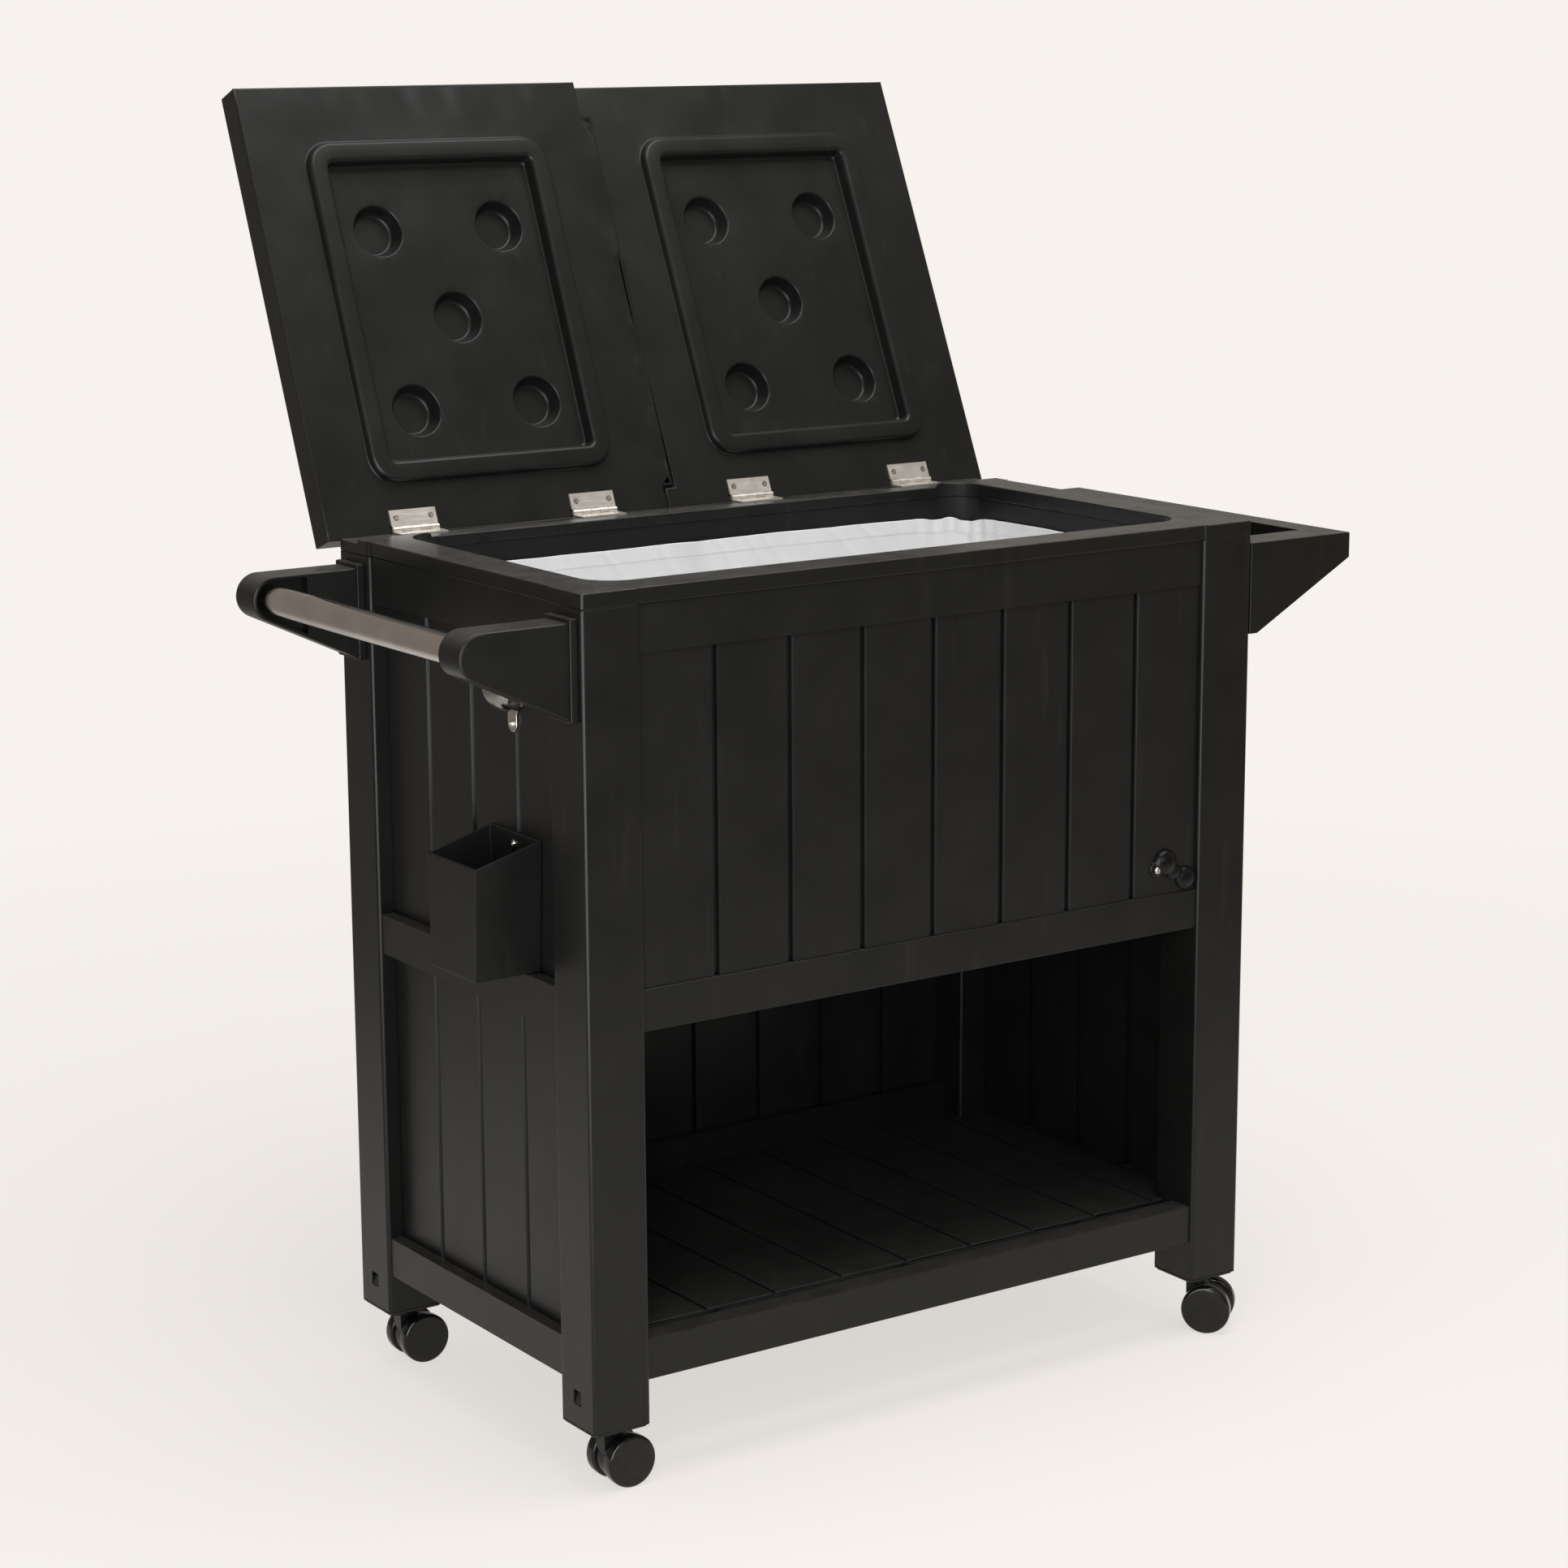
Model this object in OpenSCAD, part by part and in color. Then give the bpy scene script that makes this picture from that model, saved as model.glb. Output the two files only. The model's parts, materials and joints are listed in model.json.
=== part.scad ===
/* [Body] */
// Width of the body across the outer faces of the posts
body_w = 783; // [720:1:860]
// Depth of the body across the outer faces of the posts
body_d = 453; // [420:1:500]
// Height of the top rim above the floor
body_top = 850; // [800:1:900]

/* [Posts] */
// Width of a post across the front
post_w = 61.5; // [58:0.5:66]
// Depth of a post across the side
post_d = 60; // [57:0.5:64]
// Wall of the hollow post
post_wall = 4; // [3:0.5:5]
// Radius of the post's upright edges
post_r = 4; // [2:0.5:6]
// Width of the snap window near the foot of the post
window_w = 13; // [8:1:20]
// Height of the snap window
window_h = 14; // [8:1:20]
// Height of the snap window's sill above the foot of the post
window_up = 25; // [20:1:30]

/* [Leg end caps] */
// Height of the cap's plate under the post
cap_plate = 4; // [3:0.5:6]
// Step that the plate's lower half is drawn in by
cap_step = 2; // [1:0.5:3]
// Height of the plug that goes up into the post
cap_plug_h = 46; // [42:1:60]
// Wall of the plug
cap_wall = 3; // [2:0.5:4]
// Radius of the socket boss for the caster's stem
boss_r = 10; // [8:0.5:12]

/* [Top frame] */
// Height of the top frame
frame_h = 15; // [12:0.5:20]
// How far the rim stands back from the corner blocks
rim_recess = 2.5; // [1:0.5:4]
// Width of the rim in front of the opening
front_border = 46.5; // [44:0.5:50]
// Width of the rim behind the opening
rear_border = 38; // [36:0.5:44]
// Width of the rim at each side of the opening
side_border = 47.5; // [45:0.5:52]
// Radius of the opening's corners
opening_r = 35; // [30:1:40]
// Drop of the rear strip that carries the hinges
hinge_step = 4; // [3:0.5:5]
// Thickness of the frame's moulded walls
frame_wall = 3.5; // [2.5:0.5:4.5]
// Height of the corner plugs that go down into the posts
plug_h = 20; // [12:1:30]

/* [Panels] */
// How far the front and rear planks stand back from the posts
panel_recess = 6; // [5:0.5:8]
// How far the side planks stand back from the posts
side_recess = 16.5; // [14:0.5:19]
// Thickness of a plank panel
panel_t = 12; // [11:0.5:13]
// Number of planks across the front and the rear
front_planks = 8; // [5:1:10]
// Number of planks across a side
side_planks = 4; // [3:1:6]
// Width of a groove between planks
groove_w = 6; // [4:0.5:8]
// Depth of a groove between planks
groove_d = 4; // [3:0.5:4.5]
// Width of a channel in the panel's inner face, behind each groove
channel_w = 13; // [9:1:18]
// Depth of a channel in the panel's inner face
channel_d = 4.5; // [3:0.5:5]
// Height of the plain apron above the planks
apron_h = 45; // [35:1:55]
// How far the front apron stands proud of the planks
apron_proud = 1.5; // [1:0.25:2.5]
// How far the side apron stands back from the posts
side_apron_recess = 3; // [2.5:0.5:5]
// Thickness of the tongue that each panel and rail slides into the posts with
tongue_t = 6; // [4:0.5:7]
// Length of the tongue
tongue_l = 5.5; // [4.5:0.5:7]
// Clearance around a tongue in its slot
slot_gap = 0.2; // [0.1:0.05:0.5]

/* [Rails] */
// Height of the middle rails' lower edge above the floor
mid_rail_z = 440; // [420:1:460]
// Height of a middle rail
mid_rail_h = 40; // [34:1:50]
// Height of the bottom rails' lower edge above the floor
low_rail_z = 104.5; // [95:0.5:120]
// Height of a bottom rail
low_rail_h = 39.5; // [34:0.5:50]
// How far the front and rear rails stand back from the posts
rail_recess = 4; // [3:0.5:5]
// How far the side rails stand back from the posts
side_rail_recess = 3; // [2.5:0.5:4.5]
// Thickness of a rail from outside to inside
rail_t = 26; // [25:0.5:32]
// Wall of the hollow rail
rail_wall = 3.5; // [2.5:0.5:4.5]
// Height of the ledge inside the rear bottom rail above the rail itself
ledge_h = 28; // [20:1:36]

/* [Shelf] */
// Height of the shelf's top above the floor
shelf_top = 141; // [130:1:150]
// Thickness of the shelf boards
shelf_t = 5; // [4:0.5:8]
// Height of the stiffening ribs under the shelf
shelf_rib_h = 20; // [12:1:24]
// Spacing of the grooves that part the shelf boards
shelf_pitch = 79; // [60:1:100]
// Width of the groove between two shelf boards
shelf_groove_w = 4; // [2:0.5:6]
// Depth of the groove between two shelf boards
shelf_groove_d = 2; // [1:0.5:3]
// Gap between the front rail's inner face and the shelf's nose
shelf_front_gap = 17; // [10:1:24]

/* [Cooler tub] */
// Wall of the tub
tub_wall = 2.5; // [2:0.25:3.5]
// Step that the tub's wall stands back from the frame's opening
tub_step = 1.5; // [1:0.25:2.5]
// Height of the tub's inner floor above the floor
tub_floor = 487; // [484:1:500]
// Thickness of the tub's floor
tub_floor_t = 3; // [2:0.5:4]
// Width of the flange that hangs the tub on its foam boards
flange_w = 9; // [6:0.5:10]
// Thickness of the flange
flange_t = 3; // [2:0.5:4]
// Thickness of the board under the cooler
floor_board_t = 6; // [4:0.5:8]
// Clearance between the foam boards and what is round them
foam_gap = 0.5; // [0.2:0.1:1]
// Bore of the drain spout
spout_bore_r = 6; // [5:0.25:7]
// Wall of the drain spout
spout_wall = 2.5; // [2:0.25:3]
// How far the spout stands out of the front panel
spout_out = 1; // [0.5:0.25:2]
// Distance of the spout's axis from the right post
drain_in = 13; // [12:1:30]

/* [Liner] */
// Thickness of the welded liner sheet
liner_t = 1.2; // [1:0.1:2]
// Gap between the liner and the tub where the sheet lies closest
liner_gap = 0.8; // [0.5:0.1:2]
// Depth of the liner's folds
liner_fold = 5; // [2:0.5:7]
// Drop of the liner's edge below the frame
liner_drop = 20; // [14:1:30]
// Sag of the liner's edge in the middle of a wall
liner_sag = 3; // [1:0.5:6]

/* [Lids] */
// Half of the width across both lids
lid_half = 402; // [396:1:410]
// Length of a lid from the hinge pin to its front edge
lid_l = 461; // [458:1:480]
// Length of a lid behind the hinge pin
lid_tail = 5; // [4:0.25:5.5]
// Thickness of a lid
lid_h = 33; // [31:0.5:40]
// Wall of the hollow lid
lid_wall = 3; // [2.5:0.25:3.25]
// Radius of the lid's outer edges
lid_r = 5; // [3:0.5:7]
// Place of the seam between the lids, from the middle of the body
seam_x = -8; // [-12:0.5:-4]
// Running gap between the two lids
seam_gap = 1.5; // [1:0.25:3]
// Width of the left lid's tongue at the seam
seam_tongue = 12; // [8:0.5:16]
// Distance of the tongue's rear end from the hinge pin
tongue_rear = 20; // [12:1:30]
// Distance of the tongue's front end from the lid's front edge
tongue_front = 37; // [20:1:60]
// Angle that the left lid leans back past upright when open
left_lean = 22; // [10:1:24]
// Angle that the right lid leans back past upright when open
right_lean = 24; // [10:1:26]

/* [Lid recess] */
// Gap between a lid's raised ring and the side of the opening when closed
ring_gap = 4; // [3:0.5:6]
// Gap between a lid's raised ring and the front of the opening when closed
ring_front_gap = 7.5; // [6:0.5:10]
// Width across the raised ring
ring_w = 278; // [250:1:282]
// Length of the raised ring, front to back
ring_l = 354; // [320:1:356]
// Width of the ring's band
ring_band = 22; // [18:0.5:26]
// Height of the ring above the lid's inner face
ring_h = 8; // [5:0.5:10]
// Radius of the band's rounded edges
ring_edge = 4; // [2:0.5:5]
// Radius of the ring's outer corners
ring_r = 28; // [27:0.5:34]
// Depth of the recess floor behind the lid's inner face
recess_d = 7; // [4:0.5:8]
// Radius of a moulded cup at its mouth
cup_r = 26; // [20:0.5:28]
// Radius of a moulded cup at its bottom
cup_bottom_r = 22; // [16:0.5:23]
// Depth of a moulded cup
cup_d = 16; // [8:0.5:17]
// Distance of the outer cups from the middle one, across the lid
cup_x = 70; // [60:1:80]
// Distance of the outer cups from the middle one, along the lid
cup_y = 94; // [80:1:110]
// Distance of the middle cup from the ring's middle, towards the hinge
cup_shift = 8; // [0:1:12]

/* [Hinges] */
// Length of a hinge along its pin
hinge_l = 52; // [40:1:60]
// Width of a hinge leaf from the pin
leaf_w = 20; // [17:0.5:22]
// Thickness of a hinge leaf
leaf_t = 1.5; // [1:0.25:1.75]
// Outer radius of a hinge knuckle
knuckle_r = 3; // [2.5:0.25:3]
// Radius of the hinge pin
pin_r = 1.5; // [1.25:0.05:1.6]
// Running clearance of the pin in the lid's knuckles
pin_gap = 0.05; // [0.02:0.01:0.1]
// Gap between neighbouring knuckles
knuckle_gap = 0.4; // [0.2:0.1:0.8]
// Distance of the pin behind the posts
pin_back = 2; // [1.5:0.25:2.5]
// Distance of each hinge from the middle of its ring
hinge_x = 104; // [90:1:110]
// Distance of a leaf screw from the hinge's middle
leaf_screw_x = 19.5; // [14:0.5:20]
// Distance of a leaf screw from the pin
leaf_screw_y = 12; // [10:0.5:14]

/* [Handle] */
// Distance of the handle tube's axis from the posts
handle_reach = 96; // [80:1:110]
// Height of the tube's axis below the top of the body
handle_drop = 48.5; // [44:0.5:56]
// Radius of the handle tube
handle_tube_r = 14; // [12:0.5:16]
// Wall of the handle tube
handle_tube_wall = 1.2; // [1:0.1:2]
// Radius of the bracket's rounded end
handle_end_r = 22; // [20:0.5:24]
// Distance of the bracket's outer face from the middle of the body
handle_out_y = 217; // [210:1:220]
// Distance of the bracket's inner face from the middle of the body
handle_in_y = 178.5; // [172:0.5:184]
// Depth of the socket that the tube's end sits in
handle_socket = 20; // [12:1:30]
// Height of the bracket's flange plate
handle_plate_h = 94; // [80:1:100]
// Thickness of the bracket's flange plate
handle_plate_t = 8; // [6:0.5:10]
// How far the plate is wider than the arm on each side
handle_plate_lip = 3; // [1:0.5:5]
// Height of the arm where it meets the plate
handle_arm_h = 88; // [78:1:92]

/* [Side tray] */
// How far the tray reaches out from the posts
tray_reach = 133; // [110:1:150]
// Height of the tray's back plate
tray_plate_h = 92; // [80:1:100]
// Thickness of the tray's back plate
tray_plate_t = 10; // [8:0.5:12]
// Height of the tray's outer face
tray_lip_h = 25.5; // [20:0.5:35]
// Height of the tray's rim below the top of the body
tray_drop = 23; // [20:0.5:30]
// Length of the tray from front to rear
tray_l = 436; // [410:1:440]
// Width of the tray's front and rear rims
tray_end_rim = 43; // [30:1:50]
// Width of the tray's outer rim
tray_out_rim = 31; // [20:1:40]
// Width of the tray's rim beside its back plate
tray_inner_rim = 2; // [1:0.5:4]
// Thickness of the tray's sloping floor
tray_floor_t = 4; // [3:0.5:6]

/* [Cap catcher and opener] */
// Distance of the catcher and the opener from the middle of the body, to the front
catcher_y = 77; // [60:1:90]
// Width of the catcher at its top
catcher_w = 92; // [80:1:100]
// Width of the catcher at its bottom
catcher_bottom_w = 80.5; // [70:0.5:90]
// Depth of the catcher from the planks
catcher_d = 70; // [50:1:80]
// Height of the catcher's back
catcher_back_h = 126; // [100:1:150]
// Height of the catcher's front
catcher_front_h = 107; // [90:1:125]
// Wall of the catcher
catcher_wall = 2.5; // [2:0.25:3.5]
// Height of the catcher's screw above its bottom
catcher_screw_up = 115; // [95:1:118]
// Height of the opener's screw below the top of the body
opener_drop = 141; // [130:1:150]
// Width of the opener's tab
opener_tab_w = 16; // [12:0.5:20]
// Radius of the opener's hood at its mouth
opener_hood_r = 22; // [18:0.5:25]
// Height of the opener's hood
opener_hood_h = 30; // [24:0.5:34]
// Height of the opener's hood above its screw
opener_neck = 6; // [4:0.5:8]
// Height of the opener's plate beside the hood's mouth
opener_brow_h = 4; // [3:0.5:5]
// Thickness of the opener's metal
opener_t = 2; // [1.5:0.25:2.5]

/* [Drain plug] */
// Distance of the strap's screw from the spout, to the left
strap_screw_x = 39; // [36:0.5:44]
// Height of the strap's screw above the spout
strap_screw_z = 13.5; // [10:0.5:18]
// Radius of the strap's wide lobe
strap_lobe_r = 16; // [12:0.5:18]
// Radius of the plug's head
plug_head_r = 11; // [9.5:0.5:12]
// Distance of the strap's screw from the edge of the wide lobe
strap_edge = 2; // [1.5:0.25:3]
// Thickness of the rubber strap
strap_t = 3; // [2:0.25:4]
// Length of the plug inside the spout
plug_l = 12; // [8:1:16]

/* [Screws] */
// Radius of the round heads of the fixed screws
screw_head_r = 3.75; // [3:0.25:4.5]
// Height of the round heads
screw_head_h = 2; // [1.5:0.25:2.5]
// Radius of the screw shanks
screw_r = 1.7; // [1.4:0.05:1.9]
// Length of the screw shanks
screw_l = 8; // [6:0.5:9]

/* [Casters] */
// Height of a caster from the floor to the foot of the leg
caster_h = 60.5; // [58:0.5:66]
// Radius of a caster wheel
wheel_r = 25.5; // [23:0.5:27]
// Width of one caster wheel
wheel_w = 14.5; // [12:0.5:16]
// Radius of the wheel's rounded outer edge
wheel_edge = 5; // [3:0.5:6]
// Half of the gap between the two wheels
wheel_half_gap = 8.5; // [7:0.5:10]
// Running gap between the hood and a wheel
hood_gap = 0.6; // [0.4:0.1:1]
// Distance between the stem and the axle
trail = 15.5; // [12:0.5:18]
// Radius of the hood round the axle
hood_r = 22.5; // [18:0.5:22.5]
// Radius of the stem
stem_r = 5.5; // [4.5:0.25:6]
// Length of the stem above the hood
stem_l = 32; // [24:1:38]
// Depth of the stem's socket in the hood
hood_socket = 20; // [16:1:24]
// Height of the round collar at the hood's top
hood_collar = 11; // [8:0.5:12]
// Width of the collar's lip round the hood
hood_lip = 1; // [0.5:0.25:1.5]
// Radius of the axle
axle_r = 3; // [2.5:0.25:4]
// Gap between the end of a stem or axle and the bottom of its bore
pin_end_gap = 0.5; // [0.3:0.1:1]
// Wall of the wheel over the end of its axle
hub_wall = 2.5; // [2:0.5:4]
// Running clearance of stem and axle in their bores
turn_gap = 0.05; // [0.02:0.01:0.08]
// Angle of the front left caster
caster_fl = 0; // [-90:1:90]
// Angle of the front right caster
caster_fr = -50; // [-90:1:0]
// Angle of the rear left caster
caster_rl = -2; // [-90:1:90]
// Angle of the rear right caster
caster_rr = 25; // [-90:1:90]

/* [Hidden] */
$fn = 64;
// Extra length that a cut runs past the faces it opens
cut = 1;

// Colours
resin = "#2b2d2e";
steel = "#b9b7b0";
sheet_white = "#e4e4e6";
foam = "#d8d4c4";
rubber = "#161617";
gloss_black = "#0d0d0e";

// Levels and spans of the body
half_w = body_w / 2;
half_d = body_d / 2;
frame_z = body_top - frame_h;
foot_z = caster_h;
post_z = foot_z + cap_plate;
span_x = body_w - 2 * post_w;
span_y = body_d - 2 * post_d;
strip_z = body_top - hinge_step;
apron_z = frame_z - apron_h;
mid_top = mid_rail_z + mid_rail_h;
low_top = low_rail_z + low_rail_h;

// Opening of the top frame, and the tub that lines up with it
open_x = half_w - side_border;
open_front = -half_d + front_border;
open_rear = half_d - rear_border;
tub_x = open_x + tub_step;
tub_front = open_front - tub_step;
tub_rear = open_rear + tub_step;
tub_r = opening_r + tub_step;
notch_gap = 0.5;

// Inset of the plugs from the posts' inner faces, clear of the tongues
plug_inset = max(post_wall, tongue_l) + slot_gap;
// Clearance of a snap hook in its window
snap_gap = 0.5;

// Depth of the tongues behind the posts' faces
tongue_mid = panel_recess + panel_t / 2;
side_tongue_mid = side_recess + panel_t / 2;

// Hinge pin, and the lid's inner face above it when closed
pin_y = half_d + pin_back;
knuckle_seat = 0.2;
pin_z = strip_z + knuckle_r + knuckle_seat;
lid_seat = 0.3;
inner_z = body_top + lid_seat - pin_z;
lid_top_z = inner_z + lid_h;
left_open = 90 + left_lean;
right_open = 90 + right_lean;

// Front end of the left lid's tongue, and the right lid's notch, which clears the tongue's outer corner
tongue_front_s = lid_l - tongue_front;
notch_front_s = norm([tongue_front_s, lid_top_z]) + lid_seat;

// Raised rings of the lids, measured from the middle of the body and from the pin
ring_front_s = pin_y - open_front - ring_front_gap;
ring_mid_s = ring_front_s - ring_l / 2;
left_ring_x = -open_x + ring_gap + ring_w / 2;
right_ring_x = open_x - ring_gap - ring_w / 2;

// Tops of the handle's bracket and of the tray
handle_z = body_top - handle_drop;
handle_x = -half_w - handle_reach;
handle_plate_up = 4;
handle_cap_lip = 2;
handle_cap_h = 0.8;
handle_tube_gap = 0.1;
tray_top = body_top - tray_drop;

// The drain spout lies just above the tub's floor
spout_up = 0.5;
spout_r = spout_bore_r + spout_wall;
drain_x = half_w - post_w - drain_in;
drain_z = tub_floor + spout_bore_r + spout_up;
panel_face = -half_d + panel_recess;

// Side planks' face, and the heights of the catcher and the opener on it
side_face = half_w - side_recess;
catcher_seat = 1;
catcher_z = mid_top + catcher_seat;
catcher_screw_z = catcher_z + catcher_screw_up;
opener_z = body_top - opener_drop;

// Casters
leg_x = half_w - post_w / 2;
leg_y = half_d - post_d / 2;
wheel_out_y = wheel_half_gap + wheel_w;
hood_seat = 0.3;
hood_top = foot_z - hood_seat;

// Reach of the whole object, which sets its origin in the middle of its box
caster_front = leg_y - trail * sin(caster_fr) + cos(caster_fr) * (wheel_out_y - wheel_edge)
  - sin(caster_fr) * (wheel_r - wheel_edge) + wheel_edge;
lid_rear = pin_y + (lid_l - lid_r) * sin(right_lean) + (lid_top_z - lid_r) * cos(right_lean) + lid_r;
origin_x = (half_w + tray_reach - half_w - handle_reach - handle_end_r) / 2;
origin_y = (lid_rear - caster_front) / 2;

module place() {
  translate([-origin_x, -origin_y, 0]) children();
}

module rounded_rect(w, d, r) {
  square([w - 2 * r, d], center = true);
  square([w, d - 2 * r], center = true);
  for (sx = [-1, 1], sy = [-1, 1])
    translate([sx * (w / 2 - r), sy * (d / 2 - r)]) circle(r);
}

// Upright prism with rounded corners between two corners in plan
module rounded_prism(x0, x1, y0, y1, z0, z1, r) {
  translate([(x0 + x1) / 2, (y0 + y1) / 2, z0])
    linear_extrude(z1 - z0) rounded_rect(x1 - x0, y1 - y0, r);
}

module box(x0, x1, y0, y1, z0, z1) {
  translate([x0, y0, z0]) cube([x1 - x0, y1 - y0, z1 - z0]);
}

// Puts what is drawn inward from the front left corner at any corner of the body
module at_corner(right, rear) {
  mirror([right ? 1 : 0, 0, 0]) mirror([0, rear ? 1 : 0, 0])
    translate([-half_w, -half_d, 0]) children();
}

// Space that the tub takes, with clearance, for the posts and plugs beside it
module tub_space(gap) {
  rounded_prism(-tub_x - tub_wall - gap, tub_x + tub_wall + gap,
    tub_front - tub_wall - gap, tub_rear + tub_wall + gap,
    mid_top - cut, body_top, tub_r + tub_wall + gap);
}

// Posts
module post_shape(rear) {
  slot = tongue_t / 2 + slot_gap;
  difference() {
    rounded_prism(0, post_w, 0, post_d, post_z, frame_z, post_r);
    box(post_wall, post_w - post_wall, post_wall, post_d - post_wall, post_z - cut, frame_z + cut);
    box(post_w - post_wall - cut, post_w + cut, tongue_mid - slot, tongue_mid + slot,
      rear ? low_rail_z : mid_rail_z, frame_z + cut);
    box(post_w - post_wall - cut, post_w + cut, tongue_mid - slot, tongue_mid + slot,
      low_rail_z, low_top);
    box(side_tongue_mid - slot, side_tongue_mid + slot, post_d - post_wall - cut, post_d + cut,
      low_rail_z, frame_z + cut);
    box(-cut, post_wall + cut, (post_d - window_w) / 2, (post_d + window_w) / 2,
      foot_z + window_up, foot_z + window_up + window_h);
  }
}

module post(right, rear) {
  color(resin) place() difference() {
    at_corner(right, rear) post_shape(rear);
    tub_space(notch_gap);
  }
}

// Leg end caps, with the sockets that the casters turn in
module end_cap() {
  x0 = post_wall + slot_gap;
  x1 = post_w - plug_inset;
  y0 = post_wall + slot_gap;
  y1 = post_d - plug_inset;
  top = post_z + cap_plug_h;
  sill = foot_z + window_up + snap_gap;
  difference() {
    union() {
      rounded_prism(0, post_w, 0, post_d, foot_z + cap_plate / 2, post_z, post_r);
      rounded_prism(cap_step, post_w - cap_step, cap_step, post_d - cap_step, foot_z,
        foot_z + cap_plate / 2, post_r);
      difference() {
        box(x0, x1, y0, y1, post_z, top);
        box(x0 + cap_wall, x1 - cap_wall, y0 + cap_wall, y1 - cap_wall, post_z + cap_wall, top + cut);
      }
      translate([post_w / 2, post_d / 2, post_z]) cylinder(r = boss_r, h = stem_l + cap_wall);
      translate([x0 + slot_gap, post_d / 2 + window_w / 2 - snap_gap, sill]) rotate([90, 0, 0])
        linear_extrude(window_w - 2 * snap_gap)
          polygon([[0, 0], [-post_wall - slot_gap, 0], [0, window_h - 2 * snap_gap]]);
    }
    translate([post_w / 2, post_d / 2, foot_z - cut])
      cylinder(r = stem_r + turn_gap, h = stem_l + cut);
  }
}

module leg_end_caps() {
  color(resin) place()
    for (right = [false, true], rear = [false, true]) at_corner(right, rear) end_cap();
}

// Top frame
module frame_plug() {
  x0 = post_wall + slot_gap;
  x1 = post_w - plug_inset;
  y1 = post_d - plug_inset;
  difference() {
    box(x0, x1, x0, y1, frame_z - plug_h, frame_z + cut);
    box(x0 + frame_wall, x1 - frame_wall, x0 + frame_wall, y1 - frame_wall,
      frame_z - plug_h - cut, frame_z);
  }
}

module top_frame() {
  rim_x = half_w - rim_recess;
  rim_y = half_d - rim_recess;
  color(resin) place() difference() {
    union() {
      box(-rim_x, rim_x, -rim_y, rim_y, frame_z, body_top);
      for (right = [false, true], rear = [false, true])
        at_corner(right, rear) {
          rounded_prism(0, post_w, 0, post_d, frame_z, body_top, post_r);
          frame_plug();
        }
    }
    rounded_prism(-open_x, open_x, open_front, open_rear, frame_z - cut, body_top + cut, opening_r);
    box(-half_w - cut, half_w + cut, open_rear, half_d + cut, strip_z, body_top + cut);
    for (s = [-1, 1]) {
      box(-span_x / 2 + frame_wall, span_x / 2 - frame_wall,
        s < 0 ? -rim_y + frame_wall : open_rear + frame_wall,
        s < 0 ? open_front - frame_wall : rim_y - frame_wall,
        frame_z - cut, strip_z - frame_wall);
      box(s < 0 ? -rim_x + frame_wall : open_x + frame_wall,
        s < 0 ? -open_x - frame_wall : rim_x - frame_wall,
        -span_y / 2 + frame_wall, span_y / 2 - frame_wall, frame_z - cut, strip_z - frame_wall);
    }
    difference() {
      tub_space(notch_gap);
      box(-half_w, half_w, -half_d, half_d, frame_z, body_top + cut);
    }
    for (x = hinge_centres()) hinge_at(x) for (s = [-1, 1])
      translate([s * leaf_screw_x, -leaf_screw_y, strip_z - pin_z - screw_l - cut])
        cylinder(r = screw_r, h = screw_l + 2 * cut);
  }
}

// Plank panels, drawn with the outer face at y = 0 and the inner one at y = panel_t
module plank_panel(w, z0, z1, planks, groove_top) {
  pitch = w / planks;
  lip = groove_w / 5;
  difference() {
    union() {
      box(-w / 2, w / 2, 0, panel_t, z0, z1);
      box(-w / 2 - tongue_l, w / 2 + tongue_l, (panel_t - tongue_t) / 2, (panel_t + tongue_t) / 2, z0, z1);
    }
    for (i = [1 : planks - 1]) translate([-w / 2 + i * pitch, 0, 0]) {
      translate([0, 0, z0 - cut]) linear_extrude(groove_top - z0 + cut)
        polygon([[-groove_w / 2 - lip, -cut], [-groove_w / 2, lip], [-groove_w / 2 + lip, groove_d],
          [groove_w / 2 - lip, groove_d], [groove_w / 2, lip], [groove_w / 2 + lip, -cut]]);
      box(-channel_w / 2, channel_w / 2, panel_t - channel_d, panel_t + cut, z0 - cut, groove_top);
    }
  }
}

module front_panel() {
  color(resin) place() translate([0, panel_face, 0]) difference() {
    union() {
      plank_panel(span_x, mid_top, frame_z, front_planks, apron_z);
      box(-span_x / 2, span_x / 2, -apron_proud, 0, apron_z, frame_z);
    }
    translate([drain_x, -cut, drain_z]) rotate([-90, 0, 0])
      cylinder(r = spout_r + slot_gap, h = panel_t + 2 * cut);
    translate([drain_x - strap_screw_x, -cut, drain_z + strap_screw_z]) rotate([-90, 0, 0])
      cylinder(r = screw_r, h = panel_t + 2 * cut);
  }
}

module rear_upper_panel() {
  color(resin) place() rotate([0, 0, 180]) translate([0, panel_face, 0]) {
    plank_panel(span_x, mid_top, frame_z, front_planks, apron_z);
    box(-span_x / 2, span_x / 2, -apron_proud, 0, apron_z, frame_z);
  }
}

module rear_lower_panel() {
  color(resin) place() rotate([0, 0, 180]) translate([0, panel_face, 0])
    plank_panel(span_x, low_top, mid_rail_z, front_planks, mid_rail_z + cut);
}

// Turns a panel or rail that is drawn for the front to the left or right side
module to_side(right) {
  rotate([0, 0, right ? 90 : -90]) translate([0, -half_w, 0]) children();
}

// The side apron is a hollow box in front of the planks, open at the top under the frame
module side_upper(right) {
  to_side(right) {
    translate([0, side_recess, 0])
      plank_panel(span_y, mid_top, frame_z, side_planks, apron_z);
    difference() {
      box(-span_y / 2, span_y / 2, side_apron_recess, side_recess, apron_z, frame_z);
      box(-span_y / 2 + rail_wall, span_y / 2 - rail_wall, side_apron_recess + rail_wall,
        side_recess, apron_z + rail_wall, frame_z + cut);
    }
  }
}

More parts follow.
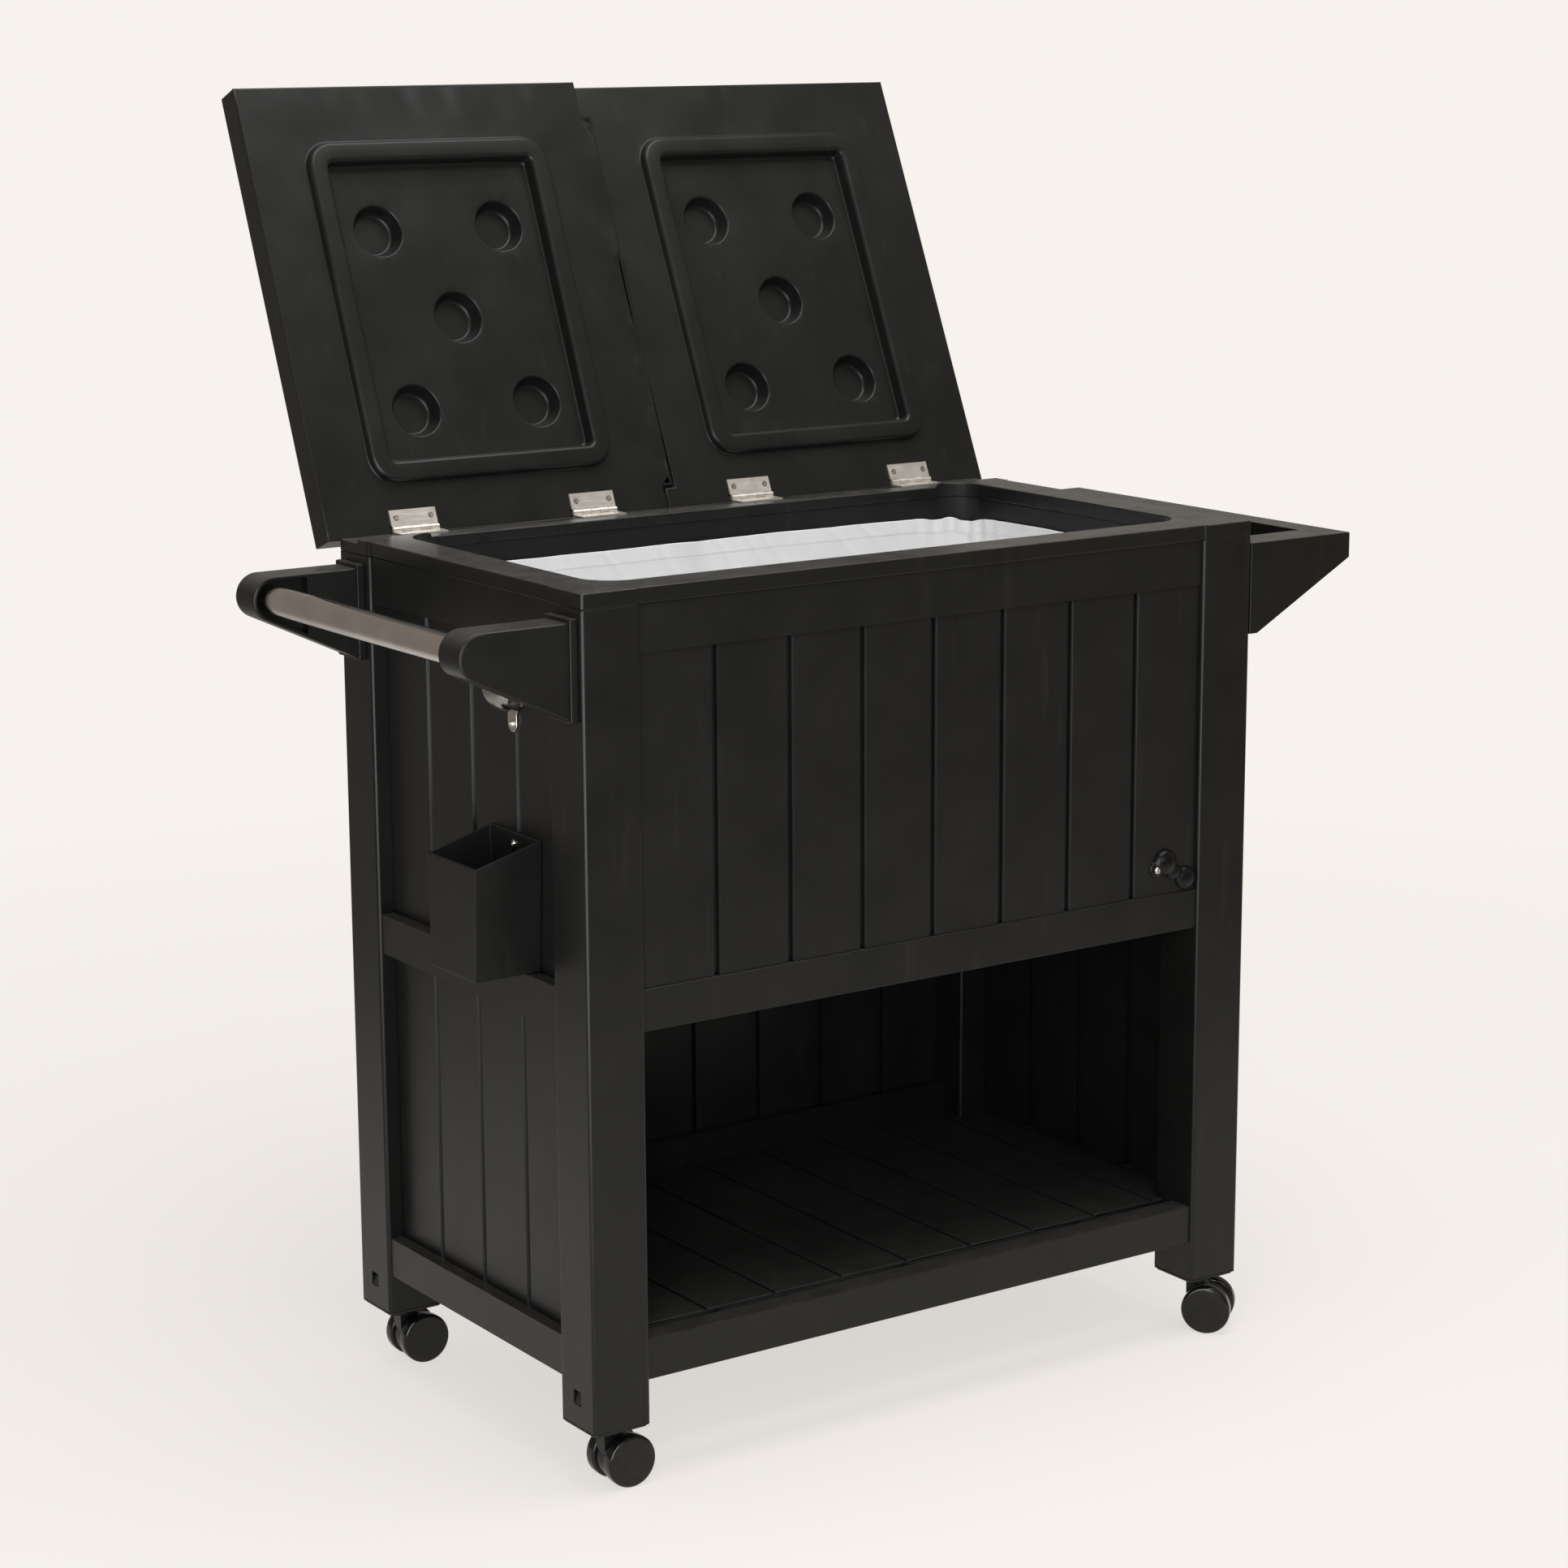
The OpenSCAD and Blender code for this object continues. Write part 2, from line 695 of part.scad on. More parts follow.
module left_upper_panel() {
  color(resin) place() difference() {
    side_upper(false);
    for (z = [catcher_screw_z, opener_z]) translate([-side_face - cut, -catcher_y, z]) rotate([0, 90, 0])
      cylinder(r = screw_r, h = panel_t + 2 * cut);
  }
}

module right_upper_panel() {
  color(resin) place() side_upper(true);
}

module side_lower(right) {
  to_side(right) translate([0, side_recess, 0])
    plank_panel(span_y, low_top, mid_rail_z, side_planks, mid_rail_z + cut);
}

module left_lower_panel() {
  color(resin) place() side_lower(false);
}

module right_lower_panel() {
  color(resin) place() side_lower(true);
}

// Rails are hollow boxes, open below, with a tongue at each end
module rail(w, recess, t, z, h, tongue_y) {
  difference() {
    union() {
      box(-w / 2, w / 2, recess, recess + t, z, z + h);
      box(-w / 2 - tongue_l, w / 2 + tongue_l, tongue_y - tongue_t / 2, tongue_y + tongue_t / 2, z, z + h);
    }
    box(-w / 2 + rail_wall, w / 2 - rail_wall, recess + rail_wall, recess + t - rail_wall,
      z - cut, z + h - rail_wall);
  }
}

module long_rail(z, h) {
  translate([0, -half_d, 0]) rail(span_x, rail_recess, rail_t, z, h, tongue_mid);
}

module side_rail(right, z, h) {
  to_side(right) rail(span_y, side_rail_recess, rail_t, z, h, side_tongue_mid);
}

module front_mid_rail() {
  color(resin) place() long_rail(mid_rail_z, mid_rail_h);
}

module front_bottom_rail() {
  color(resin) place() long_rail(low_rail_z, low_rail_h);
}

module rear_mid_rail() {
  color(resin) place() rotate([0, 0, 180]) long_rail(mid_rail_z, mid_rail_h);
}

// The rear bottom rail has a ledge inside, which closes the gap behind the shelf
module rear_bottom_rail() {
  y0 = half_d - rail_recess - rail_t;
  y1 = half_d - panel_recess - panel_t;
  color(resin) place() {
    rotate([0, 0, 180]) long_rail(low_rail_z, low_rail_h);
    box(-span_x / 2, span_x / 2, y0, y1, low_top, low_top + ledge_h);
  }
}

module left_mid_rail() {
  color(resin) place() side_rail(false, mid_rail_z, mid_rail_h);
}

module left_bottom_rail() {
  color(resin) place() side_rail(false, low_rail_z, low_rail_h);
}

module right_mid_rail() {
  color(resin) place() side_rail(true, mid_rail_z, mid_rail_h);
}

module right_bottom_rail() {
  color(resin) place() side_rail(true, low_rail_z, low_rail_h);
}

// Shelf deck: boards with a rounded nose over stiffening ribs, held between the side rails
module shelf_deck() {
  x1 = half_w - side_rail_recess - rail_t;
  y0 = -half_d + rail_recess + rail_t + shelf_front_gap;
  y1 = half_d - rail_recess - rail_t;
  y2 = half_d - post_d;
  z0 = shelf_top - shelf_t;
  nose = shelf_t / 2;
  count = floor(span_x / 2 / shelf_pitch);
  color(resin) place() difference() {
    union() {
      box(-span_x / 2, span_x / 2, y0 + nose, y1, z0, shelf_top);
      box(-x1, x1, -y2, y2, z0, shelf_top);
      translate([-span_x / 2, y0 + nose, z0 + nose]) rotate([0, 90, 0]) cylinder(r = nose, h = span_x);
      for (x = [-1, 0, 1])
        box(x * span_x / 3 - rail_wall / 2, x * span_x / 3 + rail_wall / 2,
          -half_d + rail_recess + rail_t, y1, z0 - shelf_rib_h, z0);
    }
    for (i = [-count : count])
      box(i * shelf_pitch - shelf_groove_w / 2, i * shelf_pitch + shelf_groove_w / 2,
        y0 - cut, y1 + cut, shelf_top - shelf_groove_d, shelf_top + cut);
  }
}

// Board that closes the cooler's underside, between the middle rails
module cooler_floor() {
  x1 = half_w - side_rail_recess - rail_t;
  y1 = half_d - rail_recess - rail_t;
  y2 = half_d - post_d;
  color(resin) place() {
    box(-span_x / 2, span_x / 2, -y1, y1, mid_rail_z, mid_rail_z + floor_board_t);
    box(-x1, x1, -y2, y2, mid_rail_z, mid_rail_z + floor_board_t);
  }
}

// Foam boards round and under the tub
module insulation() {
  front_in = half_d - panel_recess - panel_t;
  side_in = half_w - side_recess - panel_t;
  wall_x = tub_x + tub_wall;
  y0 = tub_front - tub_wall;
  y1 = tub_rear + tub_wall;
  top = frame_z - flange_t;
  bottom = tub_floor - tub_floor_t + foam_gap;
  floor_y = half_d - rail_recess - rail_t;
  color(foam) place() {
    difference() {
      box(-tub_x + tub_r, tub_x - tub_r, -front_in + foam_gap, y0, bottom, top);
      translate([drain_x, -half_d, drain_z]) rotate([-90, 0, 0])
        cylinder(r = spout_r + foam_gap, h = half_d);
    }
    box(-tub_x + tub_r, tub_x - tub_r, y1, front_in - foam_gap, bottom, top);
    for (right = [0, 1]) mirror([right, 0, 0])
      box(wall_x, side_in - foam_gap, tub_front + tub_r, tub_rear - tub_r, bottom, top);
    box(-span_x / 2 + foam_gap, span_x / 2 - foam_gap, -floor_y + foam_gap, floor_y - foam_gap,
      mid_rail_z + floor_board_t, tub_floor - tub_floor_t);
  }
}

// Rigid tub with its hanging flanges and the drain spout
module tub() {
  wall_x = tub_x + tub_wall;
  y0 = tub_front - tub_wall;
  y1 = tub_rear + tub_wall;
  flat_x = tub_x - tub_r;
  color(resin) place() difference() {
    union() {
      rounded_prism(-wall_x, wall_x, y0, y1, tub_floor - tub_floor_t, frame_z, tub_r + tub_wall);
      box(-flat_x, flat_x, y0 - flange_w, y1 + flange_w, frame_z - flange_t, frame_z);
      box(-wall_x - flange_w, wall_x + flange_w, tub_front + tub_r, tub_rear - tub_r,
        frame_z - flange_t, frame_z);
      translate([drain_x, panel_face - spout_out, drain_z]) rotate([-90, 0, 0])
        cylinder(r = spout_r, h = tub_front + tub_r - panel_face + spout_out);
    }
    rounded_prism(-tub_x, tub_x, tub_front, tub_rear, tub_floor, frame_z + cut, tub_r);
    translate([drain_x, panel_face - spout_out - cut, drain_z]) rotate([-90, 0, 0])
      cylinder(r = spout_bore_r, h = tub_front + tub_r - panel_face + spout_out + cut);
  }
}

// Liner: one welded white sheet, hung in the tub, with its folds
liner_side_n = 16;
liner_arc_n = 8;
liner_n = 4 * (liner_side_n + liner_arc_n);
liner_rings = 5;
liner_hx = tub_x;
liner_hy = (tub_rear - tub_front) / 2;
liner_cy = (tub_rear + tub_front) / 2;

// Steps at the rear right and the front right corner, where the sheet is gathered
rear_gather = 44;
front_gather = 20;
// Drop of the sheet's edge at the rear right corner, and its rise at the others
gather_drop = 5;
corner_rise = 3;

// Point and inward normal at step i round the tub's inner wall, from the front right corner
function liner_wall(i) =
  let (k = floor(i / (liner_side_n + liner_arc_n)), j = i - k * (liner_side_n + liner_arc_n),
    a = k * 90, even = k % 2 == 0, hu = even ? liner_hx : liner_hy, hv = even ? liner_hy : liner_hx,
    run = 2 * (hu - tub_r), on_arc = j >= liner_side_n,
    t = on_arc ? (j - liner_side_n + 0.5) / liner_arc_n * 90 - 90 : -90,
    u = on_arc ? hu - tub_r + tub_r * cos(t) : -hu + tub_r + run * (j + 0.5) / liner_side_n,
    v = on_arc ? -hv + tub_r + tub_r * sin(t) : -hv)
  [u * cos(a) - v * sin(a), u * sin(a) + v * cos(a), cos(t + a), sin(t + a)];

function bump(i, middle, width) = exp(-pow((i - middle) / width, 2));

// How far the sheet stands in from the tub: long waves, and close folds where it is gathered
function liner_wave(i, h) =
  let (p = 360 * i / liner_n, near = bump(i, rear_gather, 5) + 0.45 * bump(i, front_gather, 4),
    long = 0.16 * (1 + sin(5 * p + 40)) + 0.12 * (1 + sin(11 * p + 70)))
  liner_gap + liner_fold * h * (long + near * (0.5 + 0.5 * sin(23 * p)));

function liner_edge(i) =
  let (j = (i % (liner_side_n + liner_arc_n)) / liner_side_n, sag = j < 1 ? sin(180 * j) : 0)
  frame_z - liner_drop + corner_rise - liner_sag * sag - gather_drop * bump(i, rear_gather, 2.5);

function liner_point(i, k, deep) =
  let (w = liner_wall(i), h = 1 - k / (liner_rings - 1), base = tub_floor + liner_gap,
    z = base + (liner_edge(i) - base) * h, off = liner_wave(i, 0.25 + 0.75 * h) + deep)
  [w[0] - off * w[2], liner_cy + w[1] - off * w[3],
    k == liner_rings - 1 && deep > 0 ? z + liner_t : z];

module liner() {
  n = liner_n;
  m = n * liner_rings;
  points = [for (deep = [0, liner_t], k = [0 : liner_rings - 1], i = [0 : n - 1]) liner_point(i, k, deep)];
  centre_out = [0, liner_cy, tub_floor + liner_gap];
  centre_in = [0, liner_cy, tub_floor + liner_gap + liner_t];
  walls = [for (k = [0 : liner_rings - 2], i = [0 : n - 1])
    let (a = k * n + i, b = k * n + (i + 1) % n, c = a + n, d = b + n)
      each [[a, b, d], [a, d, c], [m + a, m + d, m + b], [m + a, m + c, m + d]]];
  edge = [for (i = [0 : n - 1]) let (j = (i + 1) % n) each [[i, m + j, j], [i, m + i, m + j]]];
  base = [for (i = [0 : n - 1])
    let (a = (liner_rings - 1) * n + i, b = (liner_rings - 1) * n + (i + 1) % n)
      each [[a, b, 2 * m], [m + a, 2 * m + 1, m + b]]];
  color(sheet_white) place() polyhedron(concat(points, [centre_out, centre_in]), concat(walls, edge, base));
}

// Plan of a lid, drawn in by the given amount, with y along the lid from the pin
function left_plan(i) = [
  [-lid_half + i, -lid_tail + i], [seam_x - i, -lid_tail + i], [seam_x - i, tongue_rear + i],
  [seam_x + seam_tongue - i, tongue_rear + i], [seam_x + seam_tongue - i, tongue_front_s - i],
  [seam_x - i, tongue_front_s - i], [seam_x - i, lid_l - i], [-lid_half + i, lid_l - i]];

function right_plan(i) =
  let (g = seam_gap, x0 = seam_x + g + i, x1 = seam_x + seam_tongue + g + i)
  [[lid_half - i, -lid_tail + i], [x0, -lid_tail + i], [x0, tongue_rear - g - i],
    [x1, tongue_rear - g - i], [x1, notch_front_s + i], [x0, notch_front_s + i],
    [x0, lid_l - i], [lid_half - i, lid_l - i]];

// Plan of the right shell, which stops short of the tongue's rear end to turn past it
function right_shell_plan(i) =
  let (x0 = seam_x + seam_gap + i, x1 = seam_x + seam_tongue + seam_gap + i)
  [[lid_half - i, -lid_tail + i], [x1, -lid_tail + i], [x1, notch_front_s + i], [x0, notch_front_s + i],
    [x0, lid_l - i], [lid_half - i, lid_l - i]];

// Turns a lid from its closed place to its open one, about the hinge pin
module open_lid(angle) {
  translate([0, pin_y, pin_z]) rotate([-angle, 0, 0]) children();
}

module plan_prism(points, z0, z1) {
  translate([0, 0, z0]) linear_extrude(z1 - z0) mirror([0, 1]) polygon(points);
}

// Hollow shell of a lid, with its outer edges rounded
module lid_shell(outer, inner, x0, x1) {
  z0 = inner_z + lid_wall;
  w = x1 - x0;
  difference() {
    intersection() {
      plan_prism(outer, z0, lid_top_z);
      translate([(x0 + x1) / 2, lid_tail + cut, lid_top_z - lid_h]) rotate([90, 0, 0])
        linear_extrude(lid_l + lid_tail + 2 * cut) rounded_rect(w, 2 * lid_h, lid_r);
      translate([x0 - cut, (lid_tail - lid_l) / 2, lid_top_z - lid_h]) rotate([90, 0, 90])
        linear_extrude(w + 2 * cut) rounded_rect(lid_l + lid_tail, 2 * lid_h, lid_r);
    }
    plan_prism(inner, z0 - cut, lid_top_z - lid_wall);
  }
}

module left_lid_shell() {
  color(resin) place() open_lid(left_open)
    lid_shell(left_plan(0), left_plan(lid_wall), -lid_half, seam_x + seam_tongue);
}

module right_lid_shell() {
  color(resin) place() open_lid(right_open)
    lid_shell(right_shell_plan(0), right_shell_plan(lid_wall), seam_x + seam_gap, lid_half);
}

// Raised ring, drawn upwards, with its band's edges eased
module lid_ring() {
  inner_w = ring_w - 2 * ring_band;
  inner_l = ring_l - 2 * ring_band;
  inner_r = ring_r - ring_band;
  ease = ring_edge * 0.3;
  thin = 0.01;
  difference() {
    hull() {
      linear_extrude(ring_h - ring_edge) rounded_rect(ring_w, ring_l, ring_r, $fn = 32);
      linear_extrude(ring_h - ease) rounded_rect(ring_w - 2 * ease, ring_l - 2 * ease, ring_r - ease, $fn = 32);
      linear_extrude(ring_h)
        rounded_rect(ring_w - 2 * ring_edge, ring_l - 2 * ring_edge, ring_r - ring_edge, $fn = 32);
    }
    hull() {
      translate([0, 0, ring_h - ring_edge]) linear_extrude(thin) rounded_rect(inner_w, inner_l, inner_r, $fn = 32);
      translate([0, 0, ring_h]) linear_extrude(thin)
        rounded_rect(inner_w + 2 * ring_edge, inner_l + 2 * ring_edge, inner_r + ring_edge, $fn = 32);
    }
    translate([0, 0, -cut]) linear_extrude(ring_h + cut) rounded_rect(inner_w, inner_l, inner_r);
  }
}

// Room that a lid's panel leaves round each hinge
leaf_room = 1;

cup_places = [[0, 0], [-cup_x, -cup_y], [cup_x, -cup_y], [-cup_x, cup_y], [cup_x, cup_y]];

// Inner panel of a lid: plate, raised ring, recess and five moulded cups
module lid_panel(outer, ring_x, hinges) {
  inner_w = ring_w - 2 * ring_band;
  inner_l = ring_l - 2 * ring_band;
  inner_r = ring_r - ring_band;
  floor_z = inner_z + recess_d;
  leaf_seat = hinge_l / 2 + leaf_room;
  difference() {
    union() {
      plan_prism(outer, inner_z, inner_z + lid_wall);
      translate([ring_x, -ring_mid_s, 0]) {
        translate([0, 0, inner_z]) mirror([0, 0, 1]) lid_ring();
        translate([0, 0, inner_z]) linear_extrude(recess_d + lid_wall)
          rounded_rect(inner_w + 2 * lid_wall, inner_l + 2 * lid_wall, inner_r + lid_wall);
        for (c = cup_places) translate([c[0], c[1] + cup_shift, floor_z])
          cylinder(r1 = cup_r + lid_wall, r2 = cup_bottom_r + lid_wall, h = cup_d + lid_wall);
      }
    }
    translate([ring_x, -ring_mid_s, 0]) {
      translate([0, 0, inner_z - ring_h - cut]) linear_extrude(recess_d + ring_h + cut)
        rounded_rect(inner_w, inner_l, inner_r);
      for (c = cup_places) translate([c[0], c[1] + cup_shift, floor_z - cut / 10])
        cylinder(r1 = cup_r, r2 = cup_bottom_r, h = cup_d + cut / 10);
    }
    for (x = hinges) translate([x, 0, 0]) {
      box(-leaf_seat, leaf_seat, -knuckle_r - leaf_room, lid_tail + cut,
        inner_z - cut, inner_z + lid_wall + cut);
      box(-leaf_seat, leaf_seat, -leaf_w - leaf_room, lid_tail + cut, inner_z - ring_h - cut, inner_z);
      for (s = [-1, 1]) translate([s * leaf_screw_x, -leaf_screw_y, inner_z - cut])
        cylinder(r = screw_r, h = lid_wall + 2 * cut);
    }
  }
}

left_hinges = [left_ring_x - hinge_x, left_ring_x + hinge_x];
right_hinges = [right_ring_x - hinge_x, right_ring_x + hinge_x];

module left_lid_panel() {
  color(resin) place() open_lid(left_open) lid_panel(left_plan(0), left_ring_x, left_hinges);
}

module right_lid_panel() {
  color(resin) place() open_lid(right_open) lid_panel(right_plan(0), right_ring_x, right_hinges);
}

// Hinges: two leaves with interleaved knuckles on one pin
function hinge_centres() = concat(left_hinges, right_hinges);
knuckle_n = 5;
knuckle_l = hinge_l / knuckle_n;

// Holes for the flat screw heads, which stand a little proud of the leaf
leaf_hole_r = screw_head_r - 0.5;
leaf_head_gap = 0.05;
leaf_head_up = 0.1;
cross_d = 1;

module hinge_at(x) {
  translate([x, pin_y, pin_z]) children();
}

// Leaf drawn from the pin towards -y, with its knuckles and countersunk holes
module hinge_leaf(first, z0, bore) {
  difference() {
    union() {
      difference() {
        box(-hinge_l / 2, hinge_l / 2, -leaf_w, 0, z0, z0 + leaf_t);
        for (k = [1 - first : 2 : knuckle_n - 1])
          box(-hinge_l / 2 + k * knuckle_l - knuckle_gap / 2, -hinge_l / 2 + (k + 1) * knuckle_l + knuckle_gap / 2,
            -knuckle_r - knuckle_gap, cut, z0 - cut, z0 + leaf_t + cut);
      }
      for (k = [first : 2 : knuckle_n - 1])
        translate([-hinge_l / 2 + k * knuckle_l + knuckle_gap / 2, 0, 0]) rotate([0, 90, 0])
          cylinder(r = knuckle_r, h = knuckle_l - knuckle_gap);
    }
    translate([-hinge_l / 2 - cut, 0, 0]) rotate([0, 90, 0]) cylinder(r = bore, h = hinge_l + 2 * cut);
    for (s = [-1, 1]) translate([s * leaf_screw_x, -leaf_screw_y, z0 - cut])
      cylinder(r = leaf_hole_r, h = leaf_t + 2 * cut);
  }
}

module hinge_frame_leaves() {
  color(steel) place() for (x = hinge_centres()) hinge_at(x)
    hinge_leaf(0, strip_z - pin_z, pin_r);
}

module left_lid_leaves() {
  color(steel) place() open_lid(left_open) for (x = left_hinges) translate([x, 0, 0])
    hinge_leaf(1, inner_z - leaf_t, pin_r + pin_gap);
}

module right_lid_leaves() {
  color(steel) place() open_lid(right_open) for (x = right_hinges) translate([x, 0, 0])
    hinge_leaf(1, inner_z - leaf_t, pin_r + pin_gap);
}

module hinge_pins() {
  color(steel) place() for (x = hinge_centres()) hinge_at(x)
    translate([-hinge_l / 2, 0, 0]) rotate([0, 90, 0]) cylinder(r = pin_r, h = hinge_l);
}

// Cross recess of a screw head whose top lies at z = 0
module cross_cut(r, depth) {
  for (a = [0, 90]) rotate([0, 0, a])
    translate([0, 0, -depth / 2 + cut / 2]) cube([1.3 * r, 0.3 * r, depth + cut], center = true);
}

// Flat screw of a hinge leaf: its head fills the leaf's hole, its shank points to -z
module leaf_screw() {
  difference() {
    union() {
      translate([0, 0, -leaf_t]) cylinder(r = leaf_hole_r - leaf_head_gap, h = leaf_t + leaf_head_up);
      translate([0, 0, -screw_l]) cylinder(r = screw_r, h = screw_l);
    }
    translate([0, 0, leaf_head_up]) cross_cut(leaf_hole_r, cross_d);
  }
}

module lid_leaf_screws(angle, hinges) {
  color(steel) place() open_lid(angle) for (x = hinges, s = [-1, 1])
    translate([x + s * leaf_screw_x, -leaf_screw_y, inner_z - leaf_t]) mirror([0, 0, 1]) leaf_screw();
}

module left_leaf_screws() {
  lid_leaf_screws(left_open, left_hinges);
}

module right_leaf_screws() {
  lid_leaf_screws(right_open, right_hinges);
}

// Round-headed screw, its seat at z = 0 and its shank to -z
module round_screw() {
  flat_r = screw_head_r * 0.6;
  difference() {
    union() {
      cylinder(r = screw_head_r, h = screw_head_h / 2);
      cylinder(r1 = screw_head_r, r2 = flat_r, h = screw_head_h);
      translate([0, 0, -screw_l]) cylinder(r = screw_r, h = screw_l);
    }
    translate([0, 0, screw_head_h]) cross_cut(flat_r, cross_d);
  }
}

module fixed_screws() {
  color(steel) place() {
    for (x = hinge_centres(), s = [-1, 1]) hinge_at(x)
      translate([s * leaf_screw_x, -leaf_screw_y, strip_z - pin_z + leaf_t]) leaf_screw();
    translate([-side_face - opener_t, -catcher_y, opener_z]) rotate([0, -90, 0]) round_screw();
    translate([-side_face - catcher_wall, -catcher_y, catcher_screw_z]) rotate([0, -90, 0]) round_screw();
    translate([drain_x - strap_screw_x, panel_face - strap_t, drain_z + strap_screw_z])
      rotate([90, 0, 0]) round_screw();
  }
}

// Handle: two moulded brackets and a stainless tube
module handle_bracket() {
  plate_x = -half_w - handle_plate_t;
  plate_top = handle_z + handle_end_r + handle_plate_up;
  arm_z = handle_z + handle_end_r - handle_arm_h;
  run = plate_x - handle_x;
  fall = handle_z - arm_z;
  reach = sqrt(run * run + fall * fall);
  turn = atan2(fall, run) - asin(handle_end_r / reach);
  tangent_x = handle_x + handle_end_r * sin(-turn);
  tangent_z = handle_z - handle_end_r * cos(turn);
  difference() {
    union() {
      box(plate_x, -half_w, -handle_out_y - handle_plate_lip, -handle_in_y + handle_plate_lip,
        plate_top - handle_plate_h, plate_top);
      translate([0, -handle_in_y, 0]) rotate([90, 0, 0]) linear_extrude(handle_out_y - handle_in_y) {
        translate([handle_x, handle_z]) circle(handle_end_r);
        polygon([[handle_x, handle_z + handle_end_r], [handle_x, handle_z], [tangent_x, tangent_z],
          [plate_x + cut, arm_z], [plate_x + cut, handle_z + handle_end_r]]);
      }
      translate([handle_x, -handle_out_y, handle_z]) rotate([90, 0, 0])
        cylinder(r = handle_tube_r + handle_cap_lip, h = handle_cap_h);
    }
    translate([handle_x, -handle_in_y + cut, handle_z]) rotate([90, 0, 0])
      cylinder(r = handle_tube_r + handle_tube_gap, h = handle_socket + cut);
  }
}

module handle_bracket_front() {
  color(resin) place() handle_bracket();
}

module handle_bracket_rear() {
  color(resin) place() mirror([0, 1, 0]) handle_bracket();
}

module handle_tube() {
  l = 2 * (handle_in_y + handle_socket);
  color(steel) place() translate([handle_x, l / 2, handle_z]) rotate([90, 0, 0]) difference() {
    cylinder(r = handle_tube_r, h = l);
    translate([0, 0, -cut]) cylinder(r = handle_tube_r - handle_tube_wall, h = l + 2 * cut);
  }
}

// Side tray: back plate, sloping body and the open well
module side_tray() {
  x0 = half_w;
  x1 = half_w + tray_plate_t;
  x2 = half_w + tray_reach;
  z0 = tray_top - tray_plate_h;
  z1 = tray_top - tray_lip_h;
  slope = (z1 - z0) / (x2 - x1);
  y0 = -half_d;
  well_x0 = x1 + tray_inner_rim;
  well_x1 = x2 - tray_out_rim;
  color(resin) place() translate([0, y0 + tray_l, 0]) rotate([90, 0, 0]) difference() {
    linear_extrude(tray_l)
      polygon([[x0, z0], [x1, z0], [x2, z1], [x2, tray_top], [x0, tray_top]]);
    translate([0, 0, tray_end_rim]) linear_extrude(tray_l - 2 * tray_end_rim)
      polygon([[well_x0, z0 + tray_floor_t + slope * (well_x0 - x1)],
        [well_x1, z0 + tray_floor_t + slope * (well_x1 - x1)],
        [well_x1, tray_top + cut], [well_x0, tray_top + cut]]);
  }
}

// Cap catcher: an open tapered box on the left side
module catcher_body(inset, floor_t, top_extra) {
  wall = -side_face;
  z0 = catcher_z;
  intersection() {
    translate([0, -catcher_y + catcher_w, 0]) rotate([90, 0, 0]) linear_extrude(2 * catcher_w)
      polygon([[wall - inset, z0 + floor_t], [wall - catcher_d + inset, z0 + floor_t],
        [wall - catcher_d + inset, z0 + catcher_front_h + top_extra],
        [wall - inset, z0 + catcher_back_h + top_extra]]);
    translate([wall - catcher_d - cut, -catcher_y, 0]) rotate([90, 0, 90])
      linear_extrude(catcher_d + 2 * cut)
        polygon([[-catcher_bottom_w / 2 + inset, z0], [catcher_bottom_w / 2 - inset, z0],
          [catcher_w / 2 - inset, z0 + catcher_back_h + cut], [-catcher_w / 2 + inset, z0 + catcher_back_h + cut]]);
  }
}

module cap_catcher() {
  color(resin) place() difference() {
    catcher_body(0, 0, 0);
    catcher_body(catcher_wall, catcher_wall, 2 * cut);
    translate([-side_face - catcher_wall - cut, -catcher_y, catcher_screw_z]) rotate([0, 90, 0])
      cylinder(r = screw_r, h = catcher_wall + 2 * cut);
  }
}

// Bottle opener: a stamped plate with a flared hood
module bottle_opener() {
  wall = -side_face;
  z0 = opener_z;
  hood_z = z0 + opener_neck;
  hood_top_z = hood_z + opener_hood_h;
  tab = opener_tab_w / 2;
  waist = opener_hood_r * 0.7;
  brow = opener_hood_r * 0.92;
  color(steel) place() difference() {
    union() {
      translate([wall, -catcher_y, 0]) rotate([90, 0, -90]) linear_extrude(opener_t) {
        translate([0, z0]) circle(tab);
        translate([-tab, z0]) square([2 * tab, hood_z - z0 + opener_t]);
        translate([-opener_hood_r, hood_top_z - opener_brow_h]) square([2 * opener_hood_r, 4 * opener_brow_h]);
        translate([-tab - opener_neck, hood_top_z + 2 * opener_brow_h])
          square([2 * (tab + opener_neck), 3 * opener_brow_h]);
      }
      translate([wall, -catcher_y, hood_z]) rotate([0, 0, 90]) rotate_extrude(angle = 180)
        polygon([[tab - opener_t, 0], [tab, 0], [waist, opener_hood_h * 0.3], [brow, opener_hood_h * 0.62],
          [opener_hood_r, opener_hood_h], [opener_hood_r - opener_t, opener_hood_h],
          [brow - opener_t, opener_hood_h * 0.66], [waist - opener_t, opener_hood_h * 0.38],
          [tab - opener_t, opener_t]]);
    }
    translate([wall - opener_t - cut, -catcher_y, z0]) rotate([0, 90, 0])
      cylinder(r = screw_r, h = opener_t + 2 * cut);
  }
}

